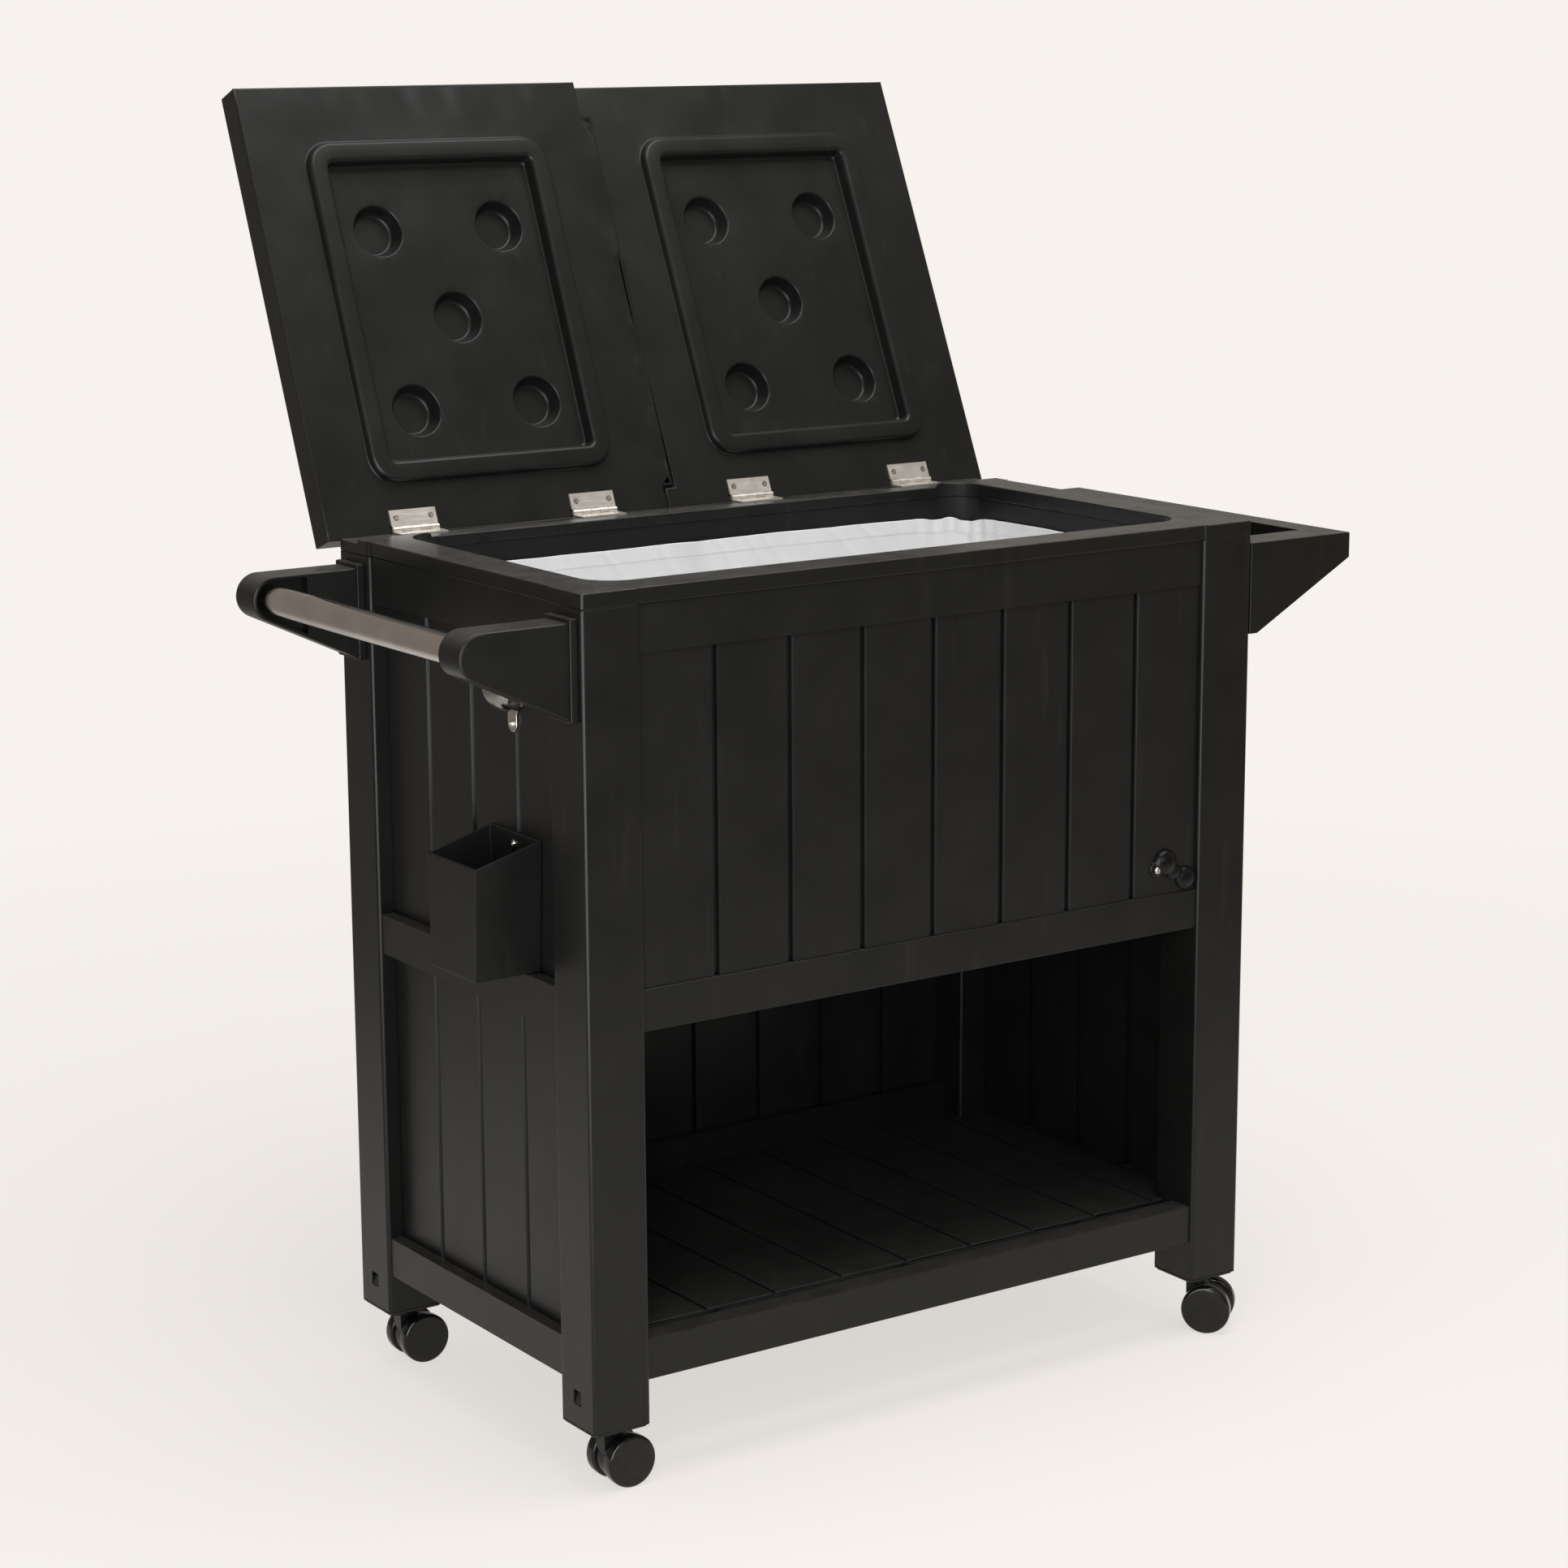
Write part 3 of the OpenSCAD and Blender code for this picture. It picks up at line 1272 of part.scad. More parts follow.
// Drain plug on its rubber strap
module drain_plug() {
  lobe_x = drain_x - strap_screw_x + strap_lobe_r - strap_edge;
  lobe_z = drain_z + strap_screw_z + strap_edge;
  face = panel_face - spout_out;
  plug_r = spout_bore_r - slot_gap;
  color(rubber) place() difference() {
    union() {
      translate([lobe_x, panel_face, lobe_z]) rotate([90, 0, 0]) cylinder(r = strap_lobe_r, h = strap_t);
      translate([drain_x, face, drain_z]) rotate([90, 0, 0]) cylinder(r = plug_head_r, h = strap_t);
      translate([0, face, 0]) rotate([90, 0, 0]) linear_extrude(strap_t - spout_out)
        polygon([[lobe_x, lobe_z - strap_lobe_r / 2], [drain_x, drain_z - plug_r], [drain_x, drain_z + plug_r],
          [lobe_x, lobe_z + strap_lobe_r / 2]]);
      translate([drain_x, face, drain_z]) rotate([-90, 0, 0]) cylinder(r = plug_r, h = plug_l);
    }
    translate([drain_x - strap_screw_x, panel_face + cut, drain_z + strap_screw_z]) rotate([90, 0, 0])
      cylinder(r = screw_r, h = strap_t + 2 * cut);
    translate([drain_x, panel_face, drain_z]) rotate([90, 0, 0]) difference() {
      cylinder(r = spout_r + slot_gap, h = spout_out);
      translate([0, 0, -cut]) cylinder(r = plug_r, h = spout_out + 2 * cut);
    }
  }
}

// Casters, drawn with the stem on the z axis and the axle trailing along +x
module at_leg(right, rear, angle) {
  translate([right ? leg_x : -leg_x, rear ? leg_y : -leg_y, 0]) rotate([0, 0, angle]) children();
}

module caster_hood(right, rear, angle) {
  half = wheel_half_gap - hood_gap;
  neck = half - hood_lip;
  collar_r = half + hood_lip;
  color(gloss_black) place() at_leg(right, rear, angle) difference() {
    union() {
      translate([0, half, 0]) rotate([90, 0, 0]) linear_extrude(2 * half) {
        translate([trail, wheel_r]) circle(hood_r);
        polygon([[-neck, hood_top - hood_collar / 2], [-neck, hood_top - hood_socket - hood_lip],
          [trail - hood_r * 0.9, wheel_r], [trail, wheel_r], [trail + hood_r * 0.4, wheel_r + hood_r * 0.8],
          [neck, hood_top - hood_collar / 2]]);
      }
      translate([0, 0, hood_top - hood_collar]) cylinder(r = collar_r, h = hood_collar);
    }
    translate([0, 0, hood_top - hood_socket]) cylinder(r = stem_r, h = hood_socket + cut);
    translate([trail, half + cut, wheel_r]) rotate([90, 0, 0]) cylinder(r = axle_r, h = 2 * half + 2 * cut);
  }
}

module caster_pins(right, rear, angle) {
  l = 2 * (wheel_half_gap + wheel_w - hub_wall - pin_end_gap);
  color(steel) place() at_leg(right, rear, angle) {
    translate([0, 0, hood_top - hood_socket]) cylinder(r = stem_r, h = hood_socket + stem_l - pin_end_gap);
    translate([trail, l / 2, wheel_r]) rotate([90, 0, 0]) cylinder(r = axle_r, h = l);
  }
}

// Wheel: a turned disc with a rounded outer edge and a blind bore
module caster_wheel(right, rear, angle, side) {
  color(gloss_black) place() at_leg(right, rear, angle) translate([trail, 0, wheel_r])
    rotate([side > 0 ? 90 : -90, 0, 0]) translate([0, 0, wheel_half_gap]) difference() {
      rotate_extrude() {
        square([wheel_r - wheel_edge, wheel_w]);
        square([wheel_r, wheel_w - wheel_edge]);
        translate([wheel_r - wheel_edge, wheel_w - wheel_edge]) circle(wheel_edge);
      }
      translate([0, 0, -wheel_edge]) cylinder(r = axle_r + turn_gap, h = wheel_w - hub_wall + wheel_edge);
      translate([0, 0, -wheel_edge - cut]) cylinder(r = wheel_r + cut, h = wheel_edge + cut);
    }
}

module caster_fl_hood() { caster_hood(false, false, caster_fl); }
module caster_fl_pins() { caster_pins(false, false, caster_fl); }
module caster_fl_wheel_out() { caster_wheel(false, false, caster_fl, 1); }
module caster_fl_wheel_in() { caster_wheel(false, false, caster_fl, -1); }
module caster_fr_hood() { caster_hood(true, false, caster_fr); }
module caster_fr_pins() { caster_pins(true, false, caster_fr); }
module caster_fr_wheel_out() { caster_wheel(true, false, caster_fr, 1); }
module caster_fr_wheel_in() { caster_wheel(true, false, caster_fr, -1); }
module caster_rl_hood() { caster_hood(false, true, caster_rl); }
module caster_rl_pins() { caster_pins(false, true, caster_rl); }
module caster_rl_wheel_out() { caster_wheel(false, true, caster_rl, -1); }
module caster_rl_wheel_in() { caster_wheel(false, true, caster_rl, 1); }
module caster_rr_hood() { caster_hood(true, true, caster_rr); }
module caster_rr_pins() { caster_pins(true, true, caster_rr); }
module caster_rr_wheel_out() { caster_wheel(true, true, caster_rr, -1); }
module caster_rr_wheel_in() { caster_wheel(true, true, caster_rr, 1); }

post(false, false);  // post_front_left
post(true, false);  // post_front_right
post(false, true);  // post_rear_left
post(true, true);  // post_rear_right
leg_end_caps();
top_frame();
front_panel();
rear_upper_panel();
rear_lower_panel();
left_upper_panel();
left_lower_panel();
right_upper_panel();
right_lower_panel();
front_mid_rail();
front_bottom_rail();
rear_mid_rail();
rear_bottom_rail();
left_mid_rail();
left_bottom_rail();
right_mid_rail();
right_bottom_rail();
shelf_deck();
cooler_floor();
insulation();
tub();
liner();
left_lid_shell();
left_lid_panel();
right_lid_shell();
right_lid_panel();
hinge_frame_leaves();
left_lid_leaves();
right_lid_leaves();
hinge_pins();
left_leaf_screws();
right_leaf_screws();
handle_bracket_front();
handle_bracket_rear();
handle_tube();
bottle_opener();
cap_catcher();
drain_plug();
side_tray();
fixed_screws();
caster_fl_hood();
caster_fl_pins();
caster_fl_wheel_out();
caster_fl_wheel_in();
caster_fr_hood();
caster_fr_pins();
caster_fr_wheel_out();
caster_fr_wheel_in();
caster_rl_hood();
caster_rl_pins();
caster_rl_wheel_out();
caster_rl_wheel_in();
caster_rr_hood();
caster_rr_pins();
caster_rr_wheel_out();
caster_rr_wheel_in();
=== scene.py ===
import json
import math

import bmesh
import bpy
from mathutils import Matrix, Vector, noise
from mathutils.geometry import delaunay_2d_cdt


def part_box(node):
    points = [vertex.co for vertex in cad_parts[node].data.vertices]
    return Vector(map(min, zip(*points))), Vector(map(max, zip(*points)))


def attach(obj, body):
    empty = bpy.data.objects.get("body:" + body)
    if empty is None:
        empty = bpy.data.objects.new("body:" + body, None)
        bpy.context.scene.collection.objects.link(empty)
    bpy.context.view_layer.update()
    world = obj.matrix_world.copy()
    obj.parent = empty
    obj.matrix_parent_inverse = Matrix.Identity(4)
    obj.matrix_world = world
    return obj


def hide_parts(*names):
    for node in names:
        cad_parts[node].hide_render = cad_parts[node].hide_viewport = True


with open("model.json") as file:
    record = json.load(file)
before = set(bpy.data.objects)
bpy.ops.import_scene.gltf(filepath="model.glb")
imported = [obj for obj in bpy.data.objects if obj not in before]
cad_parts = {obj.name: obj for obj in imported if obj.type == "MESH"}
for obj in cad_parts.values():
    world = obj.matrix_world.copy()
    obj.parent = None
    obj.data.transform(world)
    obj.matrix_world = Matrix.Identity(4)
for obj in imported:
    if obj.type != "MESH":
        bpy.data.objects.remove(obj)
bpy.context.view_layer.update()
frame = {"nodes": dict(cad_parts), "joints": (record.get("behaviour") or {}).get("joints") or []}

# Camera: a long lens at standing height, to the left of the front and a little above the rim.
# Its place was solved from the photograph's corners, from the middle of the body on the floor.
body_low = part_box("post_front_left")[0]
body_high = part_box("post_rear_right")[1]
body_mid = Vector(((body_low.x + body_high.x) / 2, (body_low.y + body_high.y) / 2, 0))
view_turn = math.radians(-34.52)
view_tilt = math.radians(12.13)
view_roll = math.radians(-0.28)
view_distance = 3.7599
view_right = -0.0198
view_up = 0.5780
lens_mm = 83.33


def new_object(name, data):
    made = bpy.data.objects.new(name, data)
    bpy.context.scene.collection.objects.link(made)
    return made


back = Vector((math.sin(view_turn) * math.cos(view_tilt),
               -math.cos(view_turn) * math.cos(view_tilt), math.sin(view_tilt)))
level = Vector((math.cos(view_turn), math.sin(view_turn), 0))
upright = back.cross(level)
right = math.cos(view_roll) * level + math.sin(view_roll) * upright
up = -math.sin(view_roll) * level + math.cos(view_roll) * upright
eye = body_mid + back * view_distance + right * view_right + up * view_up
camera_data = bpy.data.cameras.new("camera")
camera_data.lens = lens_mm
camera_data.sensor_width = 36
camera_data.clip_end = 60
camera = new_object("camera", camera_data)
camera.matrix_world = Matrix.Translation(eye) @ Matrix((right, up, back)).transposed().to_4x4()
bpy.context.scene.camera = camera
bpy.context.scene.view_settings.view_transform = "Standard"

# Studio: a pale floor that runs out into a plain pale backdrop, and four soft lamps, one for gloss alone.
# The floor keeps the soft shadow near the object, and shows the backdrop's colour further out.
backdrop_colour = (0.930, 0.888, 0.847, 1)
dome_colour = (0.28, 0.25, 0.222, 1)     # what gloss shows above the horizon
sky_light = (0.40, 0.40, 0.41, 1)
floor_radius = 12
shadow_share = 0.28
shadow_span = (0.5, 2.6)      # where the floor that the camera sees loses its shadow
gloss_span = (1.02, 2.10)     # where the floor that gloss shows grows dim,
gloss_middle = (0.10, -0.25, 0)   # measured from this point
lamps = (  # name, place, aimed at, width, height, watts, whether it lights more than gloss
    ("lamp_above", (0.1, -0.5, 3.1), (0.0, -0.1, 0.5), 2.4, 1.8, 62, True),
    ("lamp_edge", (-1.50, -1.75, 0.95), (-0.3, -0.3, 0.6), 0.4, 1.8, 9, True),
    ("lamp_front", (-0.8, -3.3, 1.7), (-0.2, -0.1, 0.6), 1.6, 1.6, 16, True),
    ("lamp_sheen", (-1.30, -1.00, 0.78), (-0.38, -0.22, 0.78), 1.1, 1.5, 26, False),
)


def combined(tree, operation, first, second):
    """A sum, product or the like of two sockets."""
    node = tree.nodes.new("ShaderNodeMath")
    node.operation = operation
    tree.links.new(first, node.inputs[0])
    tree.links.new(second, node.inputs[1])
    return node.outputs[0]


def mixed(tree, factor, first, second):
    """A colour mix whose ends are colours or sockets."""
    mix = tree.nodes.new("ShaderNodeMix")
    mix.data_type = "RGBA"
    for socket, value in zip((mix.inputs[0], mix.inputs[6], mix.inputs[7]), (factor, first, second)):
        if isinstance(value, bpy.types.NodeSocket):
            tree.links.new(value, socket)
        else:
            socket.default_value = value
    return mix.outputs[2]


def spread(tree, value, low, high, to_low=0.0, to_high=1.0):
    """Maps a value from one span to another, kept inside it."""
    node = tree.nodes.new("ShaderNodeMapRange")
    for name, number in (("From Min", low), ("From Max", high), ("To Min", to_low), ("To Max", to_high)):
        node.inputs[name].default_value = number
    tree.links.new(value, node.inputs["Value"])
    return node.outputs["Result"]


world = bpy.data.worlds.new("studio")
world.use_nodes = True
bpy.context.scene.world = world
sky = world.node_tree
path = sky.nodes.new("ShaderNodeLightPath")
in_gloss = mixed(sky, path.outputs["Is Glossy Ray"], sky_light, dome_colour)
plain_view = combined(sky, "MAXIMUM", path.outputs["Is Camera Ray"], path.outputs["Is Transmission Ray"])
sky.links.new(mixed(sky, plain_view, in_gloss, backdrop_colour), sky.nodes["Background"].inputs["Color"])

floor_mesh = bpy.data.meshes.new("floor")
floor_bm = bmesh.new()
bmesh.ops.create_circle(floor_bm, cap_ends=True, segments=96, radius=floor_radius)
floor_bm.to_mesh(floor_mesh)
floor_bm.free()
floor = new_object("floor", floor_mesh)
floor_material = bpy.data.materials.new("studio_floor")
floor_material.use_nodes = True
ground = floor_material.node_tree
matte = ground.nodes["Principled BSDF"]
matte.inputs["Base Color"].default_value = backdrop_colour
matte.inputs["Roughness"].default_value = 0.9
matte.inputs["Specular IOR Level"].default_value = 0.1
place = ground.nodes.new("ShaderNodeTexCoord").outputs


def far_from(middle):
    """How far a point of the floor is from the middle."""
    node = ground.nodes.new("ShaderNodeVectorMath")
    node.operation = "DISTANCE"
    node.inputs[1].default_value = middle
    ground.links.new(place["Object"], node.inputs[0])
    return node.outputs["Value"]


path = ground.nodes.new("ShaderNodeLightPath")
seen = combined(ground, "MAXIMUM", path.outputs["Is Camera Ray"], path.outputs["Is Transmission Ray"])
seen = combined(ground, "MAXIMUM", seen, path.outputs["Is Glossy Ray"])
shadowless = spread(ground, far_from((0, 0, 0)), *shadow_span, 1 - shadow_share, 1.0)
in_gloss = mixed(ground, spread(ground, far_from(gloss_middle), *gloss_span), backdrop_colour, dome_colour)
glow = ground.nodes.new("ShaderNodeEmission")
shown = mixed(ground, path.outputs["Is Glossy Ray"], backdrop_colour, in_gloss)
ground.links.new(shown, glow.inputs["Color"])
blend = ground.nodes.new("ShaderNodeMixShader")
ground.links.new(combined(ground, "MULTIPLY", shadowless, seen), blend.inputs[0])
ground.links.new(matte.outputs[0], blend.inputs[1])
ground.links.new(glow.outputs[0], blend.inputs[2])
ground.links.new(blend.outputs[0], ground.nodes["Material Output"].inputs["Surface"])
floor_mesh.materials.append(floor_material)

for name, at, aim, width, tall, watts, lights_all in lamps:
    lamp = bpy.data.lights.new(name, "AREA")
    lamp.shape = "RECTANGLE"
    lamp.size = width
    lamp.size_y = tall
    lamp.energy = watts
    lamp_object = new_object(name, lamp)
    lamp_object.location = at
    lamp_object.rotation_euler = (Vector(aim) - Vector(at)).to_track_quat("-Z", "Y").to_euler()
    lamp_object.visible_camera = False
    lamp_object.visible_diffuse = lights_all

# Corner posts: hollow square legs, injection moulded in satin black resin.
# The resin has a fine grain, slight waves over its flats, and dull and worn patches.
resin_colour = (0.0086, 0.0088, 0.0083)
resin_pale = (0.0122, 0.0122, 0.0115)
# Pale colour of scuffs and dust, also painted top light on faces that look up.
pale_dust_and_top_light = (0.092, 0.087, 0.080)
resin_gloss = 0.23
# Painted shade: grooves and hollows darken towards this near black where walls stand close.
groove_shade_colour = (0.0010, 0.0010, 0.0010)
groove_shade_reach = 0.007       # how far round a point the painted groove shade looks for walls,
groove_shade_span = (0.45, 0.88)    # the openness over which it fades,
groove_shade_samples = 6            # and its rays
pit_scale = 1400.0
pit_depth = 0.00006
scuff_share = 0.05
mould_edge = 0.0010        # the usual edge of a moulding
crease_angle = math.radians(32)
weld_distance = 0.00002


def new_group(name, inputs, outputs):
    """An empty node group with vector inputs and value outputs."""
    group = bpy.data.node_groups.new(name, "ShaderNodeTree")
    for label in inputs:
        group.interface.new_socket(name=label, in_out="INPUT", socket_type="NodeSocketVector")
    for label in outputs:
        group.interface.new_socket(name=label, in_out="OUTPUT", socket_type="NodeSocketFloat")
    return group, group.nodes.new("NodeGroupInput"), group.nodes.new("NodeGroupOutput")


def noise_node(tree, vector, scale, detail=2.0, stretch=None):
    """Noise over a vector, stretched by a factor for each axis where one is given."""
    if stretch:
        turn = tree.nodes.new("ShaderNodeMapping")
        turn.inputs["Scale"].default_value = stretch
        tree.links.new(vector, turn.inputs["Vector"])
        vector = turn.outputs["Vector"]
    node = tree.nodes.new("ShaderNodeTexNoise")
    node.inputs["Detail"].default_value = detail
    node.inputs["Scale"].default_value = scale
    tree.links.new(vector, node.inputs["Vector"])
    return node.outputs["Fac"]


# Moulded grain: fine pits, long waves and patches of tone, in the piece's own coordinates.
grain_group, inside, outside = new_group("moulded_grain", ("Place",), ("Pits", "Waves", "Tone", "Scuffs"))
across = inside.outputs["Place"]
patches = noise_node(grain_group, across, 16.0, 2.5)
streaks = noise_node(grain_group, across, 60.0, 3.0, (1.0, 1.0, 0.12))
for label, socket in (("Pits", noise_node(grain_group, across, pit_scale)),
                      ("Waves", noise_node(grain_group, across, 7.0)),
                      ("Tone", spread(grain_group, patches, 0.26, 0.76)),
                      ("Scuffs", spread(grain_group, streaks, 0.62, 0.74))):
    grain_group.links.new(socket, outside.inputs[label])

# Settled dust and painted top light: a pale colour on faces that look up, in soft patches.
dust_and_top_light_group, inside, outside = new_group("dust_and_painted_top_light", ("Place", "Facing"), ("Mask",))
facing = dust_and_top_light_group.nodes.new("ShaderNodeSeparateXYZ")
dust_and_top_light_group.links.new(inside.outputs["Facing"], facing.inputs[0])
upward = spread(dust_and_top_light_group, facing.outputs["Z"], 0.35, 1.0)
specks = spread(dust_and_top_light_group, noise_node(dust_and_top_light_group, inside.outputs["Place"], 42.0, 6.0), -0.1, 0.65)
dust_and_top_light_group.links.new(combined(dust_and_top_light_group, "MULTIPLY", upward, specks), outside.inputs["Mask"])


def new_material(name):
    """A material with its tree, its Principled shader and the piece's own coordinates."""
    material = bpy.data.materials.new(name)
    material.use_nodes = True
    tree = material.node_tree
    return material, tree, tree.nodes["Principled BSDF"], tree.nodes.new("ShaderNodeTexCoord").outputs


def place_group(tree, group, **sources):
    node = tree.nodes.new("ShaderNodeGroup")
    node.node_tree = group
    for label, socket in sources.items():
        tree.links.new(socket, node.inputs[label])
    return node.outputs


def two_toned(tree, shader, cloud, span, first, second):
    """Base colour that goes from the first tone to the second over a span of a cloud's values."""
    tones = mixed(tree, spread(tree, cloud, *span), (*first, 1), (*second, 1))
    tree.links.new(tones, shader.inputs["Base Color"])


def bump(tree, shader, *layers):
    """Bump nodes in a row, one for each (height socket, depth in metres)."""
    normal = None
    for socket, depth in layers:
        node = tree.nodes.new("ShaderNodeBump")
        node.inputs["Distance"].default_value = depth
        tree.links.new(socket, node.inputs["Height"])
        if normal:
            tree.links.new(normal, node.inputs["Normal"])
        normal = node.outputs["Normal"]
    tree.links.new(normal, shader.inputs["Normal"])


def resin(name, rough=(0.25, 0.34), dust_and_top_light_share=0.35, waves=0.0010, gloss=resin_gloss, paint_groove_shade=False):
    """Black resin: its roughness span, its share of dust and painted top light, and the depth of its waves.
    """
    material, tree, shader, place = new_material(name)
    grain = place_group(tree, grain_group, Place=place["Object"])
    dust_and_light = place_group(tree, dust_and_top_light_group, Place=place["Object"], Facing=place["Normal"])
    body = mixed(tree, grain["Tone"], (*resin_colour, 1), (*resin_pale, 1))
    scuffed = mixed(tree, spread(tree, grain["Scuffs"], 0, 1, 0, scuff_share), body, (*pale_dust_and_top_light, 1))
    surface = mixed(tree, spread(tree, dust_and_light["Mask"], 0, 1, 0, dust_and_top_light_share), scuffed, (*pale_dust_and_top_light, 1))
    # Painted shade: where walls stand close round a point, the colour goes towards near black.
    if paint_groove_shade:
        groove_shade = tree.nodes.new("ShaderNodeAmbientOcclusion")
        groove_shade.samples = groove_shade_samples
        groove_shade.inputs["Distance"].default_value = groove_shade_reach
        surface = mixed(tree, spread(tree, groove_shade.outputs["AO"], *groove_shade_span), (*groove_shade_colour, 1), surface)
    tree.links.new(surface, shader.inputs["Base Color"])
    tree.links.new(spread(tree, grain["Tone"], 0, 1, *rough), shader.inputs["Roughness"])
    shader.inputs["Specular IOR Level"].default_value = gloss
    bump(tree, shader, (grain["Waves"], waves), (grain["Pits"], pit_depth))
    return material


def finish_node(name, material, width=mould_edge):
    """Gives a solid of the frame its material, and rounded edges with flats that stay flat.
    Where width is 0, the edges are crisp."""
    node = frame["nodes"][name]
    node.data.materials.clear()
    node.data.materials.append(material)
    node.data.shade_smooth()
    node.modifiers.new("weld", "WELD").merge_threshold = weld_distance
    if not width:
        node.modifiers.new("crisp", "EDGE_SPLIT").split_angle = crease_angle
        return
    edges = node.modifiers.new("edges", "BEVEL")
    edges.width = width
    edges.segments = 3
    edges.limit_method = "ANGLE"
    edges.angle_limit = crease_angle
    edges.use_clamp_overlap = False
    edges.miter_outer = "MITER_ARC"
    edges.face_strength_mode = "FSTR_ALL"
    node.modifiers.new("shading", "WEIGHTED_NORMAL").use_face_influence = True


post_resin = resin("post_resin")
for corner in ("front_left", "front_right", "rear_left", "rear_right"):
    finish_node("post_" + corner, post_resin, 0.0009)

# Leg end caps: black resin plugs pushed up into the posts, with a stepped foot plate.
# A hook on each snaps into the post's window, and a boss holds the caster's stem.
finish_node("leg_end_caps", resin("cap_resin", rough=(0.42, 0.54)), 0.0008)

# Plank panels: flat moulded walls with square grooves between the planks, slid into the posts.
# The front and rear ones have a plain apron above the planks, and the side ones a boxed one.
# Their resin paints shade into the grooves and other hollows.
panel_resin = resin("panel_resin", rough=(0.30, 0.38), waves=0.0016, paint_groove_shade=True)
for panel in ("front_panel", "rear_upper_panel", "rear_lower_panel", "left_upper_panel",
              "left_lower_panel", "right_upper_panel", "right_lower_panel"):
    finish_node(panel, panel_resin, 0)

# Rails: hollow beams between the posts, at the cooler's underside and round the shelf.
# Their tongues slide down the same slots as the panels', with the edges rounded by the mould.
rail_resin = resin("rail_resin", rough=(0.28, 0.36))
for side in ("front", "rear", "left", "right"):
    finish_node(side + "_mid_rail", rail_resin)
    finish_node(side + "_bottom_rail", rail_resin)

# Shelf: one moulding with shallow grooves between its boards, a round nose and ribs below.
# It rests on the bottom rails; dust and painted top light make its top paler than the upright faces.
# The skirt under its nose is a guess, a dark sheet put where the photograph shows no light under the nose.
shelf_resin = resin("shelf_resin", rough=(0.44, 0.56), dust_and_top_light_share=0.2)
finish_node("shelf_deck", shelf_resin, 0.0006)
shade_skirt_drop = 0.0200
shade_skirt_wall = 0.0025
shade_skirt_set_back = 0.0016      # from the nose's front
shade_skirt_clear = 0.0005         # from the posts
nose_gap = 0.0170            # from the front rail's back to the deck's nose
nose_depth = 0.0044


def new_piece(name, bm, material, body, smooth=True, turn_out=True):
    """Turns mesh code's result into a piece that rides on a body of the frame.
    Its faces are turned outwards first, unless they already are."""
    if turn_out:
        bmesh.ops.recalc_face_normals(bm, faces=bm.faces)
    mesh = bpy.data.meshes.new(name)
    bm.to_mesh(mesh)
    bm.free()
    if smooth:
        mesh.shade_smooth()
    piece = new_object(name, mesh)
    mesh.materials.append(material)
    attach(piece, body)
    return piece


def add_loop(bm, points):
    return [bm.verts.new(point) for point in points]


def bridge(bm, first, second):
    """A closed band of quads between two loops of as many points."""
    for i in range(len(first)):
        j = (i + 1) % len(first)
        bm.faces.new((first[i], first[j], second[j], second[i]))


# Painted shade as a thing: a dark sheet under the nose, where there is only shade, keeps light from showing
# through.
shade_skirt = bmesh.new()
nose_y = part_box("front_bottom_rail")[1].y + nose_gap
nose_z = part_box("shelf_deck")[1].z - nose_depth
shade_skirt_profile = [(0, 0), (0, -0.6 * shade_skirt_drop), (0.0008, -shade_skirt_drop), (0.0016, -shade_skirt_drop - 0.0006),
                 (shade_skirt_wall, -shade_skirt_drop), (shade_skirt_wall, 0)]
shade_skirt_ends = [add_loop(shade_skirt, [(x, nose_y + shade_skirt_set_back + y, nose_z + z) for y, z in shade_skirt_profile])
              for x in (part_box("post_front_left")[1].x + shade_skirt_clear,
                        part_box("post_front_right")[0].x - shade_skirt_clear)]
bridge(shade_skirt, *shade_skirt_ends)
for loop in shade_skirt_ends:
    shade_skirt.faces.new(loop)
new_piece("shelf_shade_skirt", shade_skirt, shelf_resin, "root", smooth=False)

# Cooler's inside: a board between the middle rails, foam boards, and the rigid tub they hold.
# The foam is rigid, cream and finely pored, and the tub is smooth black resin.
foam_colour = (0.70, 0.66, 0.55)
foam_shade = (0.58, 0.53, 0.42)
finish_node("cooler_floor", rail_resin, 0.0008)
foam, tree, shader, place = new_material("rigid_foam")
pores = noise_node(tree, place["Object"], 420.0, 4.0)
two_toned(tree, shader, pores, (0.3, 0.7), foam_shade, foam_colour)
shader.inputs["Roughness"].default_value = 0.9
bump(tree, shader, (pores, 0.0006))
finish_node("insulation", foam, 0)
finish_node("tub", resin("tub_resin", rough=(0.30, 0.40), waves=0.0020, dust_and_top_light_share=0.1), 0.0009)

# Top frame: one rim moulding round the opening, with proud corner blocks over the posts.
# Its gate marks are small flat rounds where the mould was filled, a tenth of a millimetre proud.
# Its top faces are pale, from dust and painted top light.
rim_resin = resin("rim_resin", rough=(0.24, 0.32), dust_and_top_light_share=0.65)
finish_node("top_frame", rim_resin, 0.0014)
rim_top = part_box("top_frame")[1].z
mark_radius = 0.0055
mark_rise = 0.00012       # less than the lids' seat
mark_profile = (          # (share of the radius, share of the rise)
    (1, -1), (1, 0.3), (0.93, 1), (0.80, 1), (0.72, 0.4), (0, 0.4))
mark_places = (  # from the middle of the body
    (-0.371, 0.088), (-0.370, -0.084), (0.362, 0.074), (0.364, -0.086), (0.352, -0.174),
    (0.244, -0.207), (-0.244, -0.207))


